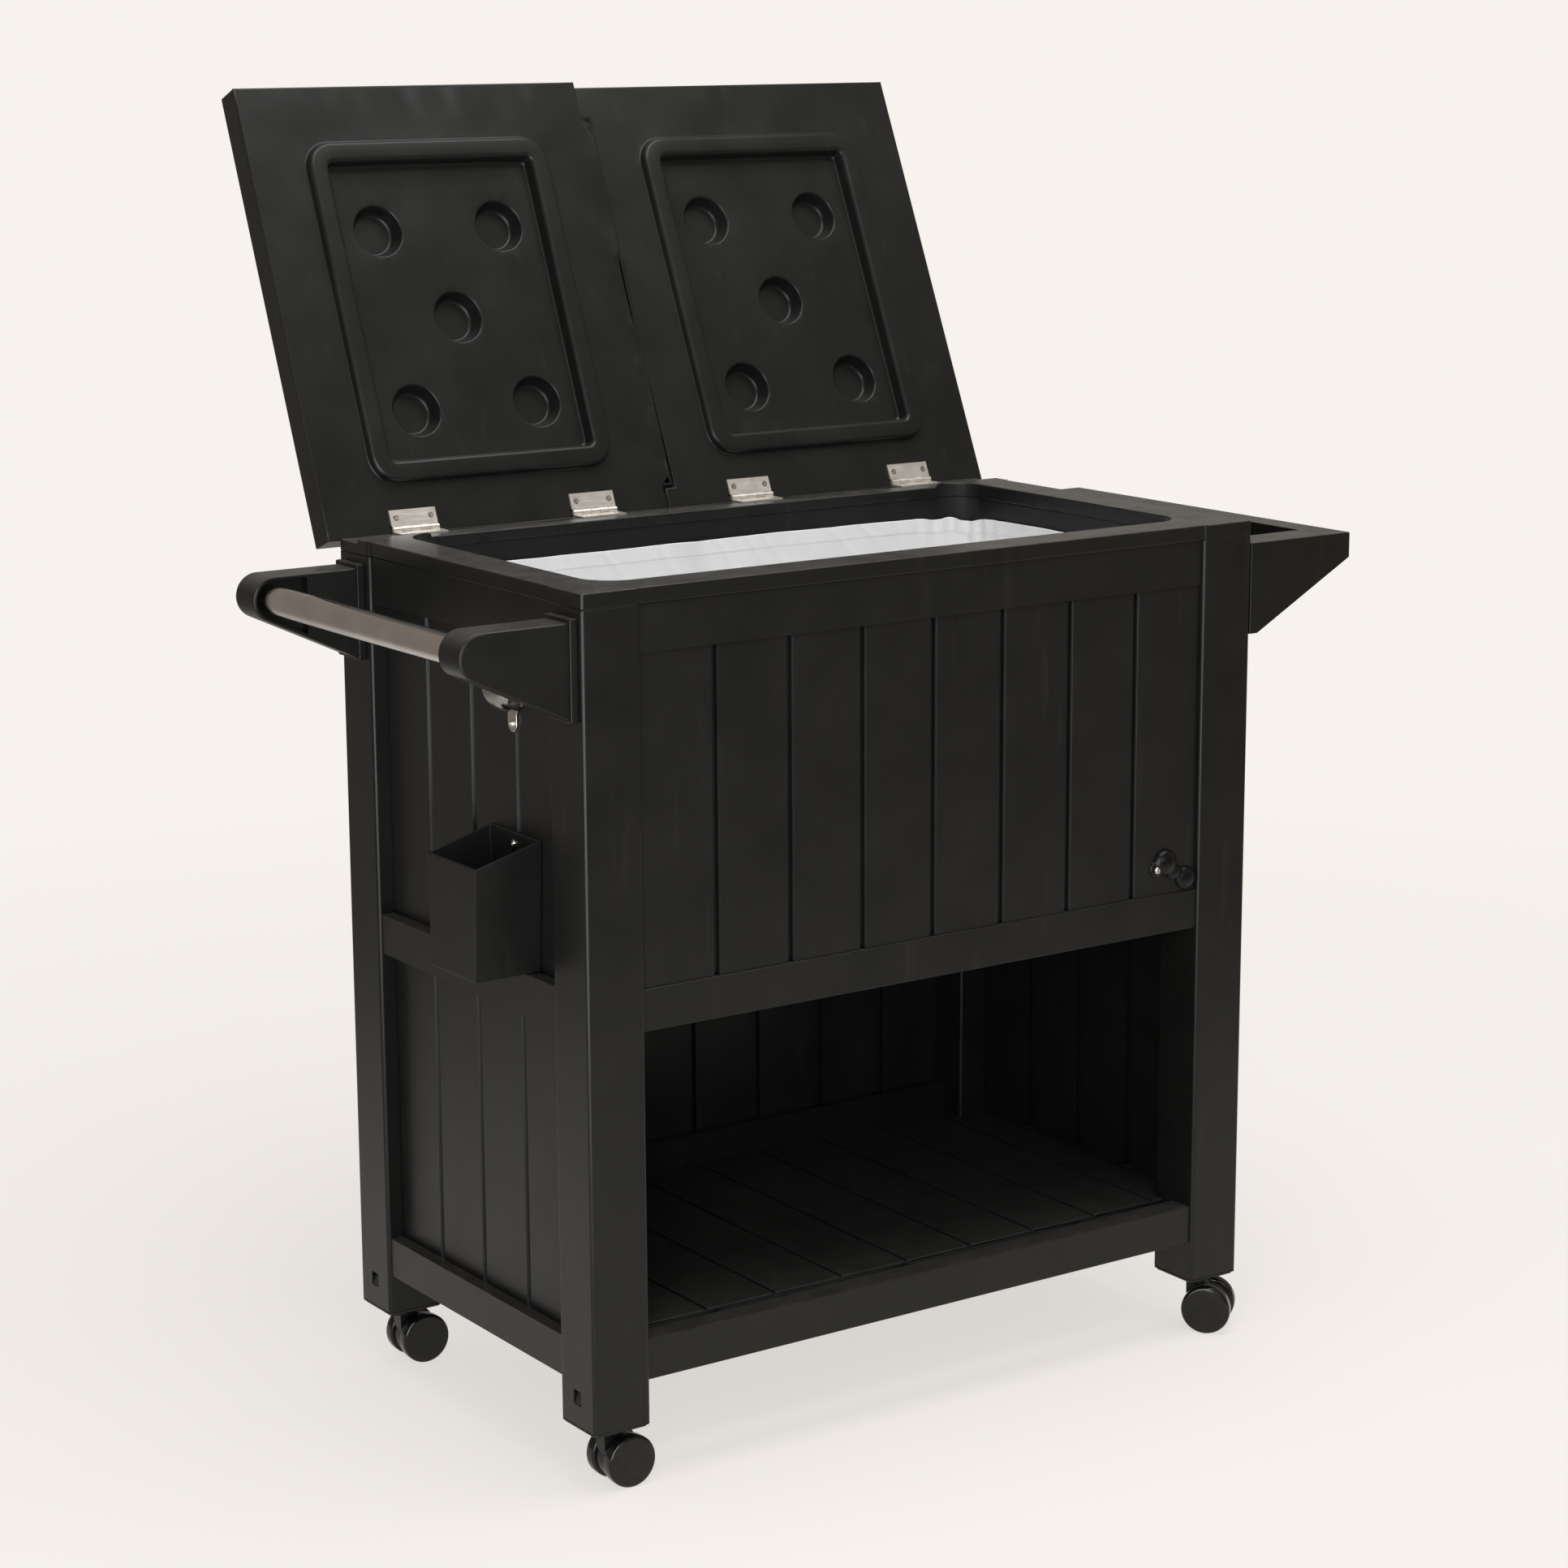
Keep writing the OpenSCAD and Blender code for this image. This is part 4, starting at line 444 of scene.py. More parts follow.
def lathe(bm, profile, place, steps=48):
    """Turns a profile of (radius, height) points about z, and puts each point where place says.
    A radius of 0 closes the form in one point."""
    rings = []
    for radius, rise in profile:
        turns = [2 * math.pi * i / steps for i in range(steps)] if radius else [0]
        rings.append([bm.verts.new(place(Vector((radius * math.cos(a), radius * math.sin(a), rise))))
                      for a in turns])
    for lower, upper in zip(rings, rings[1:]):
        for i in range(steps):
            corners = []
            for ring, k in ((lower, i), (lower, i + 1), (upper, i + 1), (upper, i)):
                if ring[k % len(ring)] not in corners:
                    corners.append(ring[k % len(ring)])
            if len(corners) > 2:
                bm.faces.new(corners)


marks = bmesh.new()
for mark_x, mark_y in mark_places:
    middle = body_mid + Vector((mark_x, mark_y, rim_top))
    lathe(marks, [(mark_radius * out, mark_rise * rise) for out, rise in mark_profile],
          lambda p: p + middle, steps=32)
new_piece("gate_marks", marks, rim_resin, "root", turn_out=False)

# Liner: a white bag of coated cloth, welded at its seams and hung in the tub from its hem.
# It was cut as a box net, so it falls in slack folds that gather at the rear right corner.
cloth_white = (0.84, 0.84, 0.835)
cloth_shade = (0.80, 0.80, 0.795)
liner_low, liner_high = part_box("liner")
liner_mid = (liner_low + liner_high) / 2
liner_half_x = (liner_high.x - liner_low.x) / 2
liner_half_y = (liner_high.y - liner_low.y) / 2
liner_corner = 0.0360
liner_edge = liner_high.z - 0.0035
liner_floor = liner_low.z + 0.0010
hem_depth = 0.0145
hem_swell = 0.0004           # the doubled hem stands out,
seam_pull = 0.0001           # and the seam below it draws in
seam_width = 0.0016
cloth_thickness = 0.0009
cloth_gap = 0.0006           # from the tub, before any fold
slack_fade = 0.11            # the depth over which the folds die away
sway_depths = ((5, 0.7, 0.0008), (17, 2.0, 0.0003))   # (turns round the bag, phase, depth)
edge_sways = ((5, 1.1, 0.0005), (17, 0, 0.0002))      # the same for the edge's height
corner_folds = ((0.0062, 0.050, 300), (0.0034, 0.045, 280))   # (depth, width, pitch), rear and front
columns = 560
wall_rows = 46
floor_rows = 12
foot_rows = 4
foot_radius = 0.010          # where the walls turn into the floor
floor_ripple = 0.0012
side_x = 2 * (liner_half_x - liner_corner)
side_y = 2 * (liner_half_y - liner_corner)
turn_length = liner_corner * math.pi / 2
girth = 2 * (side_x + side_y) + 4 * turn_length
gather_at = side_x + 1.5 * turn_length + side_y   # arc length of the rear right corner
front_gather_at = side_x + 0.5 * turn_length      # and of the front right one


def hill(value, middle, width):
    return math.exp(-((value - middle) / width) ** 2)


def tub_wall(along, inset):
    """Point of the tub's wall at an arc length from the front left corner, moved inwards."""
    half_x, half_y = liner_half_x, liner_half_y
    for turn, run in enumerate((side_x, side_y, side_x, side_y)):
        wide, deep = (half_x, half_y) if turn % 2 == 0 else (half_y, half_x)
        if along <= run:
            p = Vector((-run / 2 + along, -deep + inset, 0))
            break
        along -= run
        if along <= turn_length or turn == 3:
            a = along / liner_corner - math.pi / 2
            p = Vector((wide - liner_corner + (liner_corner - inset) * math.cos(a),
                        -deep + liner_corner + (liner_corner - inset) * math.sin(a), 0))
            break
        along -= turn_length
    return Matrix.Rotation(math.pi / 2 * turn, 3, "Z") @ p


def gathered(along, middle, folds):
    """Folds side by side, deepest in the middle of a gathered corner."""
    depth, width, pitch = folds
    return depth * hill(along, middle, width) * (0.5 + 0.5 * math.cos(pitch * (along - middle)))


def liner_inset(along, depth):
    """How far the cloth stands in from the tub at an arc length and a depth below its edge."""
    near_top = math.exp(-depth / slack_fade)
    ring = 2 * math.pi * along / girth
    waves = sum(height * (1 + math.sin(turns * ring + phase)) for turns, phase, height in sway_depths)
    slack = 0.0034 * max(0, noise.noise(Vector((7 * math.cos(ring), 5 * math.sin(ring), 6 * depth + 3.1))))
    pull = noise.noise(Vector((24 * along + 16 * depth, 11 * depth, 1.7)))
    crease = 0.0008 * max(0, 1 - 3.2 * abs(pull)) ** 2
    gathers = sum(gathered(along, at, folds) for at, folds in zip((gather_at, front_gather_at), corner_folds))
    fold = 0.0040 * hill(along, gather_at + 0.34 - 0.5 * depth, 0.016)
    inset = cloth_gap + (waves + slack) * (0.35 + 0.65 * near_top) + (gathers + fold + crease) * near_top
    if depth < hem_depth:
        return inset + hem_swell
    return inset - seam_pull if depth < hem_depth + seam_width else inset


def liner_height(along):
    """Height of the cloth's edge: slack between the corners, and dropped where it is gathered."""
    ring = 2 * math.pi * along / girth
    sway = sum(height * math.sin(turns * ring + phase) for turns, phase, height in edge_sways)
    dropped = 0.0052 * hill(along, gather_at - 0.012, 0.018) + 0.0030 * hill(along, gather_at + 0.03, 0.012)
    return liner_edge + sway - dropped


cloth = bmesh.new()
rows = []
depth_of = [0.0009 * k for k in range(0, 20)] + [0.018 + 0.0034 * k for k in range(1, 14)]
wall_depth = liner_edge - liner_floor
tail_rows = wall_rows - len(depth_of)
tail_top, tail_depth = depth_of[-1], wall_depth - foot_radius - depth_of[-1]
depth_of += [tail_top + tail_depth * (k + 1) / tail_rows for k in range(tail_rows)]
for depth in depth_of:
    loop = []
    for i in range(columns):
        along = girth * (i + 0.5) / columns
        point = tub_wall(along, liner_inset(along, depth))
        top = liner_height(along)
        fade = 1 - depth / wall_depth
        height = liner_edge - depth + (top - liner_edge) * fade
        loop.append((liner_mid.x + point.x, liner_mid.y + point.y, height))
    rows.append(add_loop(cloth, loop))
for k in range(1, floor_rows + 1):
    bend = math.pi / 2 * min(1, k / foot_rows)
    shrink = foot_radius * math.sin(bend)
    drop = foot_radius * (1 - math.cos(bend))
    share_in = max(0, k - foot_rows) / (floor_rows - foot_rows + 1)
    loop = []
    for i in range(columns):
        along = girth * (i + 0.5) / columns
        point = tub_wall(along, liner_inset(along, wall_depth - foot_radius) + shrink) * (1 - share_in)
        height = liner_floor + foot_radius - drop
        if k > foot_rows:
            height += floor_ripple * max(0, noise.noise(Vector((9 * point.x, 9 * point.y, 8.3))))
        loop.append((liner_mid.x + point.x, liner_mid.y + point.y, height))
    rows.append(add_loop(cloth, loop))
for first, second in zip(rows, rows[1:]):
    bridge(cloth, second, first)
cloth.faces.new(rows[-1])

liner_cloth, tree, shader, place = new_material("liner_cloth")
weave = noise_node(tree, place["Object"], 900.0, 2.0)
soil = noise_node(tree, place["Object"], 14.0, 4.0)
two_toned(tree, shader, soil, (0.42, 0.75), cloth_white, cloth_shade)
tree.links.new(spread(tree, soil, 0.3, 0.7, 0.42, 0.56), shader.inputs["Roughness"])
shader.inputs["Sheen Weight"].default_value = 0.08
bump(tree, shader, (noise_node(tree, place["Object"], 60.0, 3.0), 0.0003), (weave, 0.00008))
liner = new_piece("liner_bag", cloth, liner_cloth, "root", turn_out=False)
body = liner.modifiers.new("cloth", "SOLIDIFY")
body.thickness = cloth_thickness
body.offset = 1
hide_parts("liner")

# Lids: a hollow outer shell and an inner panel, welded together round their edges.
# The shells are plain boxes with rounded edges, and the left one has a tongue at the seam.
lid_resin = resin("lid_resin", rough=(0.28, 0.36), waves=0.0022, dust_and_top_light_share=0.1)
finish_node("left_lid_shell", lid_resin)
finish_node("right_lid_shell", lid_resin)

# Inner panels of the lids: each has a raised ring that drops into the cooler's opening,
# a sunk floor inside the ring, and five cups pressed into that floor.
pin_low, pin_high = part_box("hinge_pins")
pin_y = (pin_low.y + pin_high.y) / 2
pin_z = (pin_low.z + pin_high.z) / 2
lid_seat = 0.0003
lid_plane = rim_top + lid_seat - pin_z     # the inner face above the pin, lid closed
lid_tail = 0.005
lid_length = 0.461
tongue_rear = 0.020
tongue_front = 0.424
tongue_width = 0.012
notch_front = 0.42567
seam_gap = 0.0026
hinge_half = 0.027
hinge_slot = 0.004
panel_wall = 0.0018
rim_profile = (    # (down, in)
    (0.0028, 0.0), (0.0011, 0.0), (0.00035, 0.00033), (0.0, 0.0011), (0.0, 0.0020), (0.0, 0.0038))
ring_width = 0.278
ring_length = 0.354
ring_middle = 0.224
ring_corner = 0.028
ring_inner_corner = 0.005
recess_depth = 0.007
ring_profile = (   # (distance in from the ring's outer line, height above the panel)
    (-0.0022, 0.0), (-0.0010, 0.0003), (-0.0002, 0.0013), (0.0004, 0.0036), (0.0013, 0.0058),
    (0.0028, 0.0073), (0.0048, 0.0080), (0.0170, 0.0080), (0.0192, 0.0074), (0.0208, 0.0060),
    (0.0217, 0.0040), (0.0222, 0.0004), (0.0227, -0.0046), (0.0233, -0.0061), (0.0248, -0.0070))
cup_radius = 0.026
cup_floor_radius = 0.022
cup_depth = 0.016
cup_middle = 0.216
cup_places = ((0, 0), (-0.070, -0.094), (0.070, -0.094), (-0.070, 0.094), (0.070, 0.094))
cup_profile = (    # (radius, depth below the sunk floor)
    (cup_radius + 0.0022, 0.0), (cup_radius + 0.0010, 0.0004), (cup_radius, 0.0018),
    (cup_radius - 0.0016, 0.0078), (cup_floor_radius + 0.0004, cup_depth - 0.0030),
    (cup_floor_radius - 0.0008, cup_depth - 0.0010), (cup_floor_radius - 0.0030, cup_depth))


def rounded_rect(x, y, width, length, radius, steps=8, spans=18):
    """Points of a rounded rectangle, counter-clockwise, with its straight sides divided."""
    points = []
    for k, (sx, sy) in enumerate(((1, 1), (-1, 1), (-1, -1), (1, -1))):
        for i in range(steps + 1):
            a = math.pi / 2 * (k + i / steps)
            points.append(Vector((x + sx * (width / 2 - radius) + radius * math.cos(a),
                                  y + sy * (length / 2 - radius) + radius * math.sin(a))))
    whole = []
    for i, p in enumerate(points):
        whole.append(p)
        if i % (steps + 1) == steps:
            whole += [p.lerp(points[(i + 1) % len(points)], k / spans) for k in range(1, spans)]
    return [tuple(p) for p in whole]


def divided(points, step):
    """An outline with its long edges divided."""
    whole = []
    for i, p in enumerate(points):
        here, there = Vector(p), Vector(points[(i + 1) % len(points)])
        pieces = max(1, round((there - here).length / step))
        whole += [tuple(here.lerp(there, k / pieces)) for k in range(pieces)]
    return whole


def circle(x, y, radius, steps=56):
    return [(x + radius * math.cos(2 * math.pi * i / steps), y + radius * math.sin(2 * math.pi * i / steps))
            for i in range(steps)]


def inset_outline(points, inset):
    """An outline, counter-clockwise, drawn in by the inset."""
    moved = []
    for i, p in enumerate(points):
        before, after = points[i - 1], points[(i + 1) % len(points)]
        first, second = (Vector((a[1] - b[1], b[0] - a[0])).normalized()
                         for a, b in ((before, p), (p, after)))
        shift = (first + second) * inset / (1 + first.dot(second))
        moved.append((p[0] + shift.x, p[1] + shift.y))
    return moved


def is_inside(outline, point):
    """Whether a point lies inside an outline."""
    within = False
    for i, (ax, ay) in enumerate(outline):
        bx, by = outline[i - 1]
        if (ay > point.y) != (by > point.y) and point.x < (bx - ax) * (point.y - ay) / (by - ay) + ax:
            within = not within
    return within


def fill_between(bm, outer, holes, point_at, step=0.020, clear=0.007):
    """Fills the flat region between an outer loop and the holes in it, with a grid of points between.
    A loop is its outline, as flat points, and its vertices; point_at puts a flat point in its place."""
    def between(point):
        return is_inside(outer[0], point) and not any(is_inside(outline, point) for outline, _ in holes)

    points, corners, edges = [], [], []
    for outline, loop in (outer, *holes):
        first = len(points)
        points += [Vector(p) for p in outline]
        corners += loop
        edges += [(first + i, first + (i + 1) % len(loop)) for i in range(len(loop))]
    given = points[:]
    low, high = (Vector(map(limit, zip(*given))) for limit in (min, max))
    for i in range(1, int((high.x - low.x) / step)):
        for j in range(1, int((high.y - low.y) / step)):
            p = low + Vector((i + 0.5 * (j % 2), j)) * step
            if min((p - q).length for q in given) >= clear and between(p):
                points.append(p)
                corners.append(bm.verts.new(point_at(p)))
    flat, _, triangles, sources, _, _ = delaunay_2d_cdt(points, edges, [], 0, 1e-8)
    for triangle in triangles:
        if between(sum((flat[k] for k in triangle), Vector((0, 0))) / 3):
            bm.faces.new([corners[sources[k][0]] for k in triangle])


def lid_panel(name, body, outline, ring_x, open_angle):
    """Inner panel of a lid, drawn in the closed lid's plane and turned open about the pin."""
    turn = Matrix.Translation((0, pin_y, pin_z)) @ Matrix.Rotation(-open_angle, 4, "X")
    outward = (turn.to_3x3() @ Vector((0, 0, -1))).normalized()

    def placed(points, rise):
        return [turn @ Vector((x, -s, lid_plane - rise)) for x, s in points]

    def drawn(outlines):
        """The loops through a row of (outline, rise), joined by bands."""
        loops = [(points, add_loop(bm, placed(points, rise))) for points, rise in outlines]
        for (_, first), (_, second) in zip(loops, loops[1:]):
            bridge(bm, first, second)
        return loops

    bm = bmesh.new()
    edge = drawn((inset_outline(outline, inset), -down) for down, inset in rim_profile)
    rings = drawn((rounded_rect(ring_x, ring_middle, ring_width - 2 * inset, ring_length - 2 * inset,
                                max(ring_corner - inset, ring_inner_corner)), rise)
                  for inset, rise in ring_profile)
    fill_between(bm, edge[-1], [rings[0]], lambda p: placed([p], 0)[0])
    mouths = []
    for x, s in cup_places:
        cup = drawn((circle(ring_x + x, cup_middle + s, radius), -recess_depth - depth)
                    for radius, depth in cup_profile)
        mouths.append(cup[0])
        bm.faces.new(cup[-1][1])
    fill_between(bm, rings[-1], mouths, lambda p: placed([p], -recess_depth)[0])
    bmesh.ops.recalc_face_normals(bm, faces=bm.faces)
    largest = max(bm.faces, key=lambda f: f.calc_area())
    if largest.normal.dot(outward) < 0:
        bmesh.ops.reverse_faces(bm, faces=bm.faces)
    piece = new_piece(name, bm, lid_resin, body, turn_out=False)
    wall = piece.modifiers.new("wall", "SOLIDIFY")
    wall.thickness = panel_wall
    wall.offset = -1
    wall.use_quality_normals = True
    piece.modifiers.new("shading", "WEIGHTED_NORMAL")
    return piece


def hinge_notches(middle):
    """Notches for a lid's two knuckles along its rear edge, from right to left."""
    points = []
    for x in (middle + hinge_x, middle - hinge_x):
        points += [(x + hinge_half, -lid_tail), (x + hinge_half, hinge_slot),
                   (x - hinge_half, hinge_slot), (x - hinge_half, -lid_tail)]
    return points


def joint_named(name):
    return next(joint for joint in frame["joints"] if joint["name"] == name)


hinge_x = 0.104
outline_step = 0.015
left_low, left_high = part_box("left_lid_shell")
right_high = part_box("right_lid_shell")[1]
left_ring, right_ring = (sum(corner.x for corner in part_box(side + "_lid_leaves")) / 2
                         for side in ("left", "right"))
seam = left_high.x - tongue_width
left_outline = [(left_low.x, -lid_tail), (left_low.x, lid_length), (seam, lid_length), (seam, tongue_front),
                (seam + tongue_width, tongue_front), (seam + tongue_width, tongue_rear),
                (seam, tongue_rear), (seam, -lid_tail), *hinge_notches(left_ring)]
seam_right = seam + seam_gap
right_outline = [(seam_right, -lid_tail), (seam_right, tongue_rear - seam_gap),
                 (seam_right + tongue_width, tongue_rear - seam_gap),
                 (seam_right + tongue_width, notch_front), (seam_right, notch_front),
                 (seam_right, lid_length), (right_high.x, lid_length), (right_high.x, -lid_tail),
                 *hinge_notches(right_ring)]
for side, outline, ring_x in (("left", left_outline, left_ring), ("right", right_outline, right_ring)):
    panel = lid_panel(side + "_lid_inner", side + "_lid", divided(outline[::-1], outline_step), ring_x,
                      math.radians(joint_named(side + "_lid_hinge")["range_deg"][1]))
    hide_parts(side + "_lid_panel")

# Hinges: stamped, zinc-plated leaves with rolled knuckles on a steel pin, and their cross-head screws.
# The plating is a warm pale grey with fine rolling lines and dull spots.
zinc_colour = (0.74, 0.71, 0.655)
zinc_shade = (0.58, 0.555, 0.51)
screw_edge = 0.00015


def metal(name, bright, dull, rough, lines, stretch=None, depth=0.00002, spots=70.0, metallic=1.0):
    """Bare or plated metal: its tones, its roughness span, and lines of a scale and stretch."""
    material, tree, shader, place = new_material(name)
    streak = noise_node(tree, place["Object"], lines, 4.0, stretch)
    cloud = noise_node(tree, place["Object"], spots, 4.0)
    two_toned(tree, shader, cloud, (0.35, 0.75), bright, dull)
    tree.links.new(spread(tree, streak, 0.3, 0.7, *rough), shader.inputs["Roughness"])
    shader.inputs["Metallic"].default_value = metallic
    bump(tree, shader, (streak, depth))
    return material


zinc = metal("zinc_plate", zinc_colour, zinc_shade, (0.30, 0.44), 500.0, (0.06, 1.0, 1.0), metallic=0.75)
leaf_screw_steel = metal("leaf_screw_steel", (0.50, 0.48, 0.45), (0.34, 0.33, 0.31), (0.20, 0.34), 900.0)
screw_steel = metal("screw_steel", (0.72, 0.70, 0.67), (0.45, 0.44, 0.42), (0.16, 0.30), 900.0)
for name in ("hinge_frame_leaves", "left_lid_leaves", "right_lid_leaves", "hinge_pins"):
    finish_node(name, zinc, 0)
for name, steel in (("left_leaf_screws", leaf_screw_steel), ("right_leaf_screws", leaf_screw_steel),
                    ("fixed_screws", screw_steel)):
    finish_node(name, steel, screw_edge)

# Handle: two moulded brackets on the left posts, and a brushed stainless tube between them.
# The tube is rolled from sheet, with fine lines along it and two shallow beads from the rolls.
# The brackets' top faces are pale, from dust and painted top light.
bracket_resin = resin("bracket_resin", rough=(0.28, 0.36), dust_and_top_light_share=0.6)
tube_low, tube_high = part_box("handle_tube")
tube_mid = (tube_low + tube_high) / 2
tube_radius = (tube_high.z - tube_low.z) / 2
tube_wall = 0.0012
sharp_angle = math.radians(50)
arm_end_radius = 0.0220
arm_height = 0.0880
arm_edge = 0.0018
plate_thickness = 0.0080
plate_lip = 0.0030
plate_edge = 0.0011
plate_corner = 0.0022
plate_bite = 0.0040          # how far the arm runs on into its plate
chamber_wall = 0.0030
chamber_depth = 0.0120       # an open chamber in the arm's inner side, round the tube's end
chamber_end = 0.0355         # from the tube's axis towards the body
disc_profile = (             # (radius, height above the arm)
    (0, -0.0020), (0.0206, -0.0020), (0.0206, 0.0002), (0.0203, 0.0005), (0.0198, 0.0006), (0, 0.0006))


def left_of(outline, limit):
    """The part of a convex outline on the left of a limit."""
    kept = []
    for i, p in enumerate(outline):
        q = outline[(i + 1) % len(outline)]
        if p[0] <= limit:
            kept.append(p)
        if (p[0] - limit) * (q[0] - limit) < 0:
            kept.append(tuple(Vector(p).lerp(Vector(q), (limit - p[0]) / (q[0] - p[0]))))
    return kept


def rounded_slab(bm, outline, depth, edge, point_at, hole=None):
    """A slab through a flat outline, from 0 to a depth, with rounded edges. It has a chamber in
    its first face where hole gives an outline for one."""
    turns = [math.pi / 8 * k for k in range(5)]
    quarter = [(edge * (1 - math.cos(a)), edge * (1 - math.sin(a))) for a in turns]
    levels = quarter + [(depth - down, inset) for down, inset in reversed(quarter)]
    outlines = [(inset_outline(outline, inset), down) for down, inset in levels]
    loops = [add_loop(bm, [point_at(p, down) for p in points]) for points, down in outlines]
    for first, second in zip(loops, loops[1:]):
        bridge(bm, first, second)
    bm.faces.new(loops[-1])
    if not hole:
        bm.faces.new(loops[0])
        return
    mouth = add_loop(bm, [point_at(p, 0) for p in hole])
    deep = add_loop(bm, [point_at(p, chamber_depth) for p in hole])
    bridge(bm, mouth, deep)
    bm.faces.new(deep)
    fill_between(bm, (outlines[0][0], loops[0]), [(hole, mouth)], lambda p: point_at(p, 0), 0.006, 0.002)


for end, outward in (("front", -1), ("rear", 1)):
    bracket_low, bracket_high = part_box("handle_bracket_" + end)
    inner_y, outer_y = (bracket_low.y, bracket_high.y) if outward > 0 else (bracket_high.y, bracket_low.y)
    inner_y += outward * plate_lip
    outer_y -= outward * plate_lip
    plate_x = bracket_high.x - plate_thickness
    arm_top = tube_mid.z + arm_end_radius
    fall = arm_height - arm_end_radius
    run = plate_x - tube_mid.x
    lean = math.atan2(fall, run) - math.asin(arm_end_radius / math.hypot(run, fall))
    arm_outline = [(plate_x + plate_bite, arm_top)]
    for k in range(41):
        a = math.pi / 2 + (math.pi - lean) * k / 40
        arm_outline.append((tube_mid.x + arm_end_radius * math.cos(a),
                            tube_mid.z + arm_end_radius * math.sin(a)))
    arm_outline += [(plate_x, arm_top - arm_height), (plate_x + plate_bite, arm_top - arm_height)]
    arm = bmesh.new()
    arm_outline = divided(arm_outline, 0.009)
    rounded_slab(arm, arm_outline, abs(outer_y - inner_y), arm_edge,
                 lambda p, down: (p[0], inner_y + outward * down, p[1]),
                 left_of(inset_outline(arm_outline, chamber_wall), tube_mid.x + chamber_end))
    lathe(arm, disc_profile,
          lambda p: Vector((tube_mid.x + p.x, outer_y + outward * p.z, tube_mid.z + p.y)), 96)
    plate_mid_y = (bracket_low.y + bracket_high.y) / 2
    plate_mid_z = (bracket_low.z + bracket_high.z) / 2
    rounded_slab(arm, rounded_rect(plate_mid_y, plate_mid_z, bracket_high.y - bracket_low.y,
                                   bracket_high.z - bracket_low.z, plate_corner, 4, 6),
                 plate_thickness, plate_edge,
                 lambda p, down: (bracket_high.x - down, p[0], p[1]))
    arm_piece = new_piece("handle_arm_" + end, arm, bracket_resin, "root")
    arm_piece.data.set_sharp_from_angle(angle=sharp_angle)
    arm_piece.modifiers.new("shading", "WEIGHTED_NORMAL").keep_sharp = True
    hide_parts("handle_bracket_" + end)

bead_angles = (math.radians(171), math.radians(184))
bead_width = math.radians(2.6)
bead_depth = 0.00010


def tube_loop(radius, y, beads):
    points = []
    for a in map(math.radians, range(360)):
        r = radius - (bead_depth * sum(hill(a, b, bead_width) for b in bead_angles) if beads else 0)
        points.append((tube_mid.x + r * math.cos(a), y, tube_mid.z + r * math.sin(a)))
    return points


pipe = bmesh.new()
ends = [add_loop(pipe, tube_loop(radius, y, radius == tube_radius))
        for radius, y in ((tube_radius, tube_low.y), (tube_radius, tube_high.y),
                          (tube_radius - tube_wall, tube_high.y), (tube_radius - tube_wall, tube_low.y))]
for k in range(4):
    bridge(pipe, ends[k], ends[(k + 1) % 4])
stainless = metal("stainless", (0.60, 0.570, 0.530), (0.52, 0.490, 0.455), (0.12, 0.20), 700.0,
                  (1.0, 0.004, 1.0), 0.000004, 30.0)
tube = new_piece("handle_pipe", pipe, stainless, "root")
tube.data.set_sharp_from_angle(angle=sharp_angle)
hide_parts("handle_tube")

# Bottle opener: polished cast steel, a tab with one screw under a scoop that flares out and up.
# It stands flat on the left panel, and its plate goes on up behind the scoop.
opener_low, opener_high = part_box("bottle_opener")
opener_x = opener_high.x
opener_y = (opener_low.y + opener_high.y) / 2
plate_top = opener_high.z
plate_wall = 0.0020
tab_radius = 0.0080
tab_z = opener_low.z + tab_radius
neck_z = tab_z + 0.0115
plate_half = 0.0200
scoop_half = 0.0220      # half its width at the wall
scoop_reach = 0.0265     # how far its rim stands off the wall
scoop_rise = 0.0240      # its rise from the neck to the rim
scoop_corner = 0.6       # 1 bends its plan as an ellipse, and less makes it boxier
lip_start = 0.86
lip_curl = 0.0045        # how far the rim rolls outwards
lip_lift = 0.0020
scoop_wall = 0.0022
scoop_turns = 40         # divisions round it,
scoop_steps = 14         # and from its neck to its lip


def scoop_point(turn, out):
    """Point of the scoop at a turn from its front end and a share of the way to its lip."""
    side = math.sin(turn) ** scoop_corner
    across = math.copysign(abs(math.cos(turn)) ** scoop_corner, math.cos(turn))
    bend = math.pi / 2 * min(out / lip_start, 1)
    rolled = max(0, out - lip_start) / (1 - lip_start)
    bowl = 0.12 + 0.88 * math.sin(bend)
    reach = scoop_reach * bowl + lip_curl * rolled ** 1.5
    rise = scoop_rise * (1 - math.cos(bend)) + lip_lift * math.sin(math.pi / 2 * rolled)
    return Vector((opener_x - plate_wall * 0.6 - reach * side, opener_y - scoop_half * bowl * across,
                   neck_z + rise))


casting = bmesh.new()
scoop = [[casting.verts.new(scoop_point(math.pi * (i / scoop_turns), k / scoop_steps))
          for k in range(scoop_steps + 1)] for i in range(scoop_turns + 1)]
for one, other in zip(scoop, scoop[1:]):
    for k in range(scoop_steps):
        casting.faces.new((one[k], other[k], other[k + 1], one[k + 1]))
bmesh.ops.solidify(casting, geom=casting.faces[:], thickness=scoop_wall)
half_turn = [math.pi * (1 + i / 20) for i in range(21)]
plate_outline = [(tab_radius * math.cos(a), tab_z + tab_radius * math.sin(a)) for a in half_turn]
shoulder = [(tab_radius, neck_z - 0.002), (tab_radius + 0.003, neck_z + 0.003),
            (plate_half, neck_z + 0.009), (plate_half, plate_top - 0.004), (plate_half - 0.004, plate_top)]
plate_outline += shoulder + [(-y, z) for y, z in reversed(shoulder)]
plate_steps = ((0, 0), (0, plate_wall - 0.0005), (0.00015, plate_wall - 0.00015), (0.0005, plate_wall))
plate_loops = []
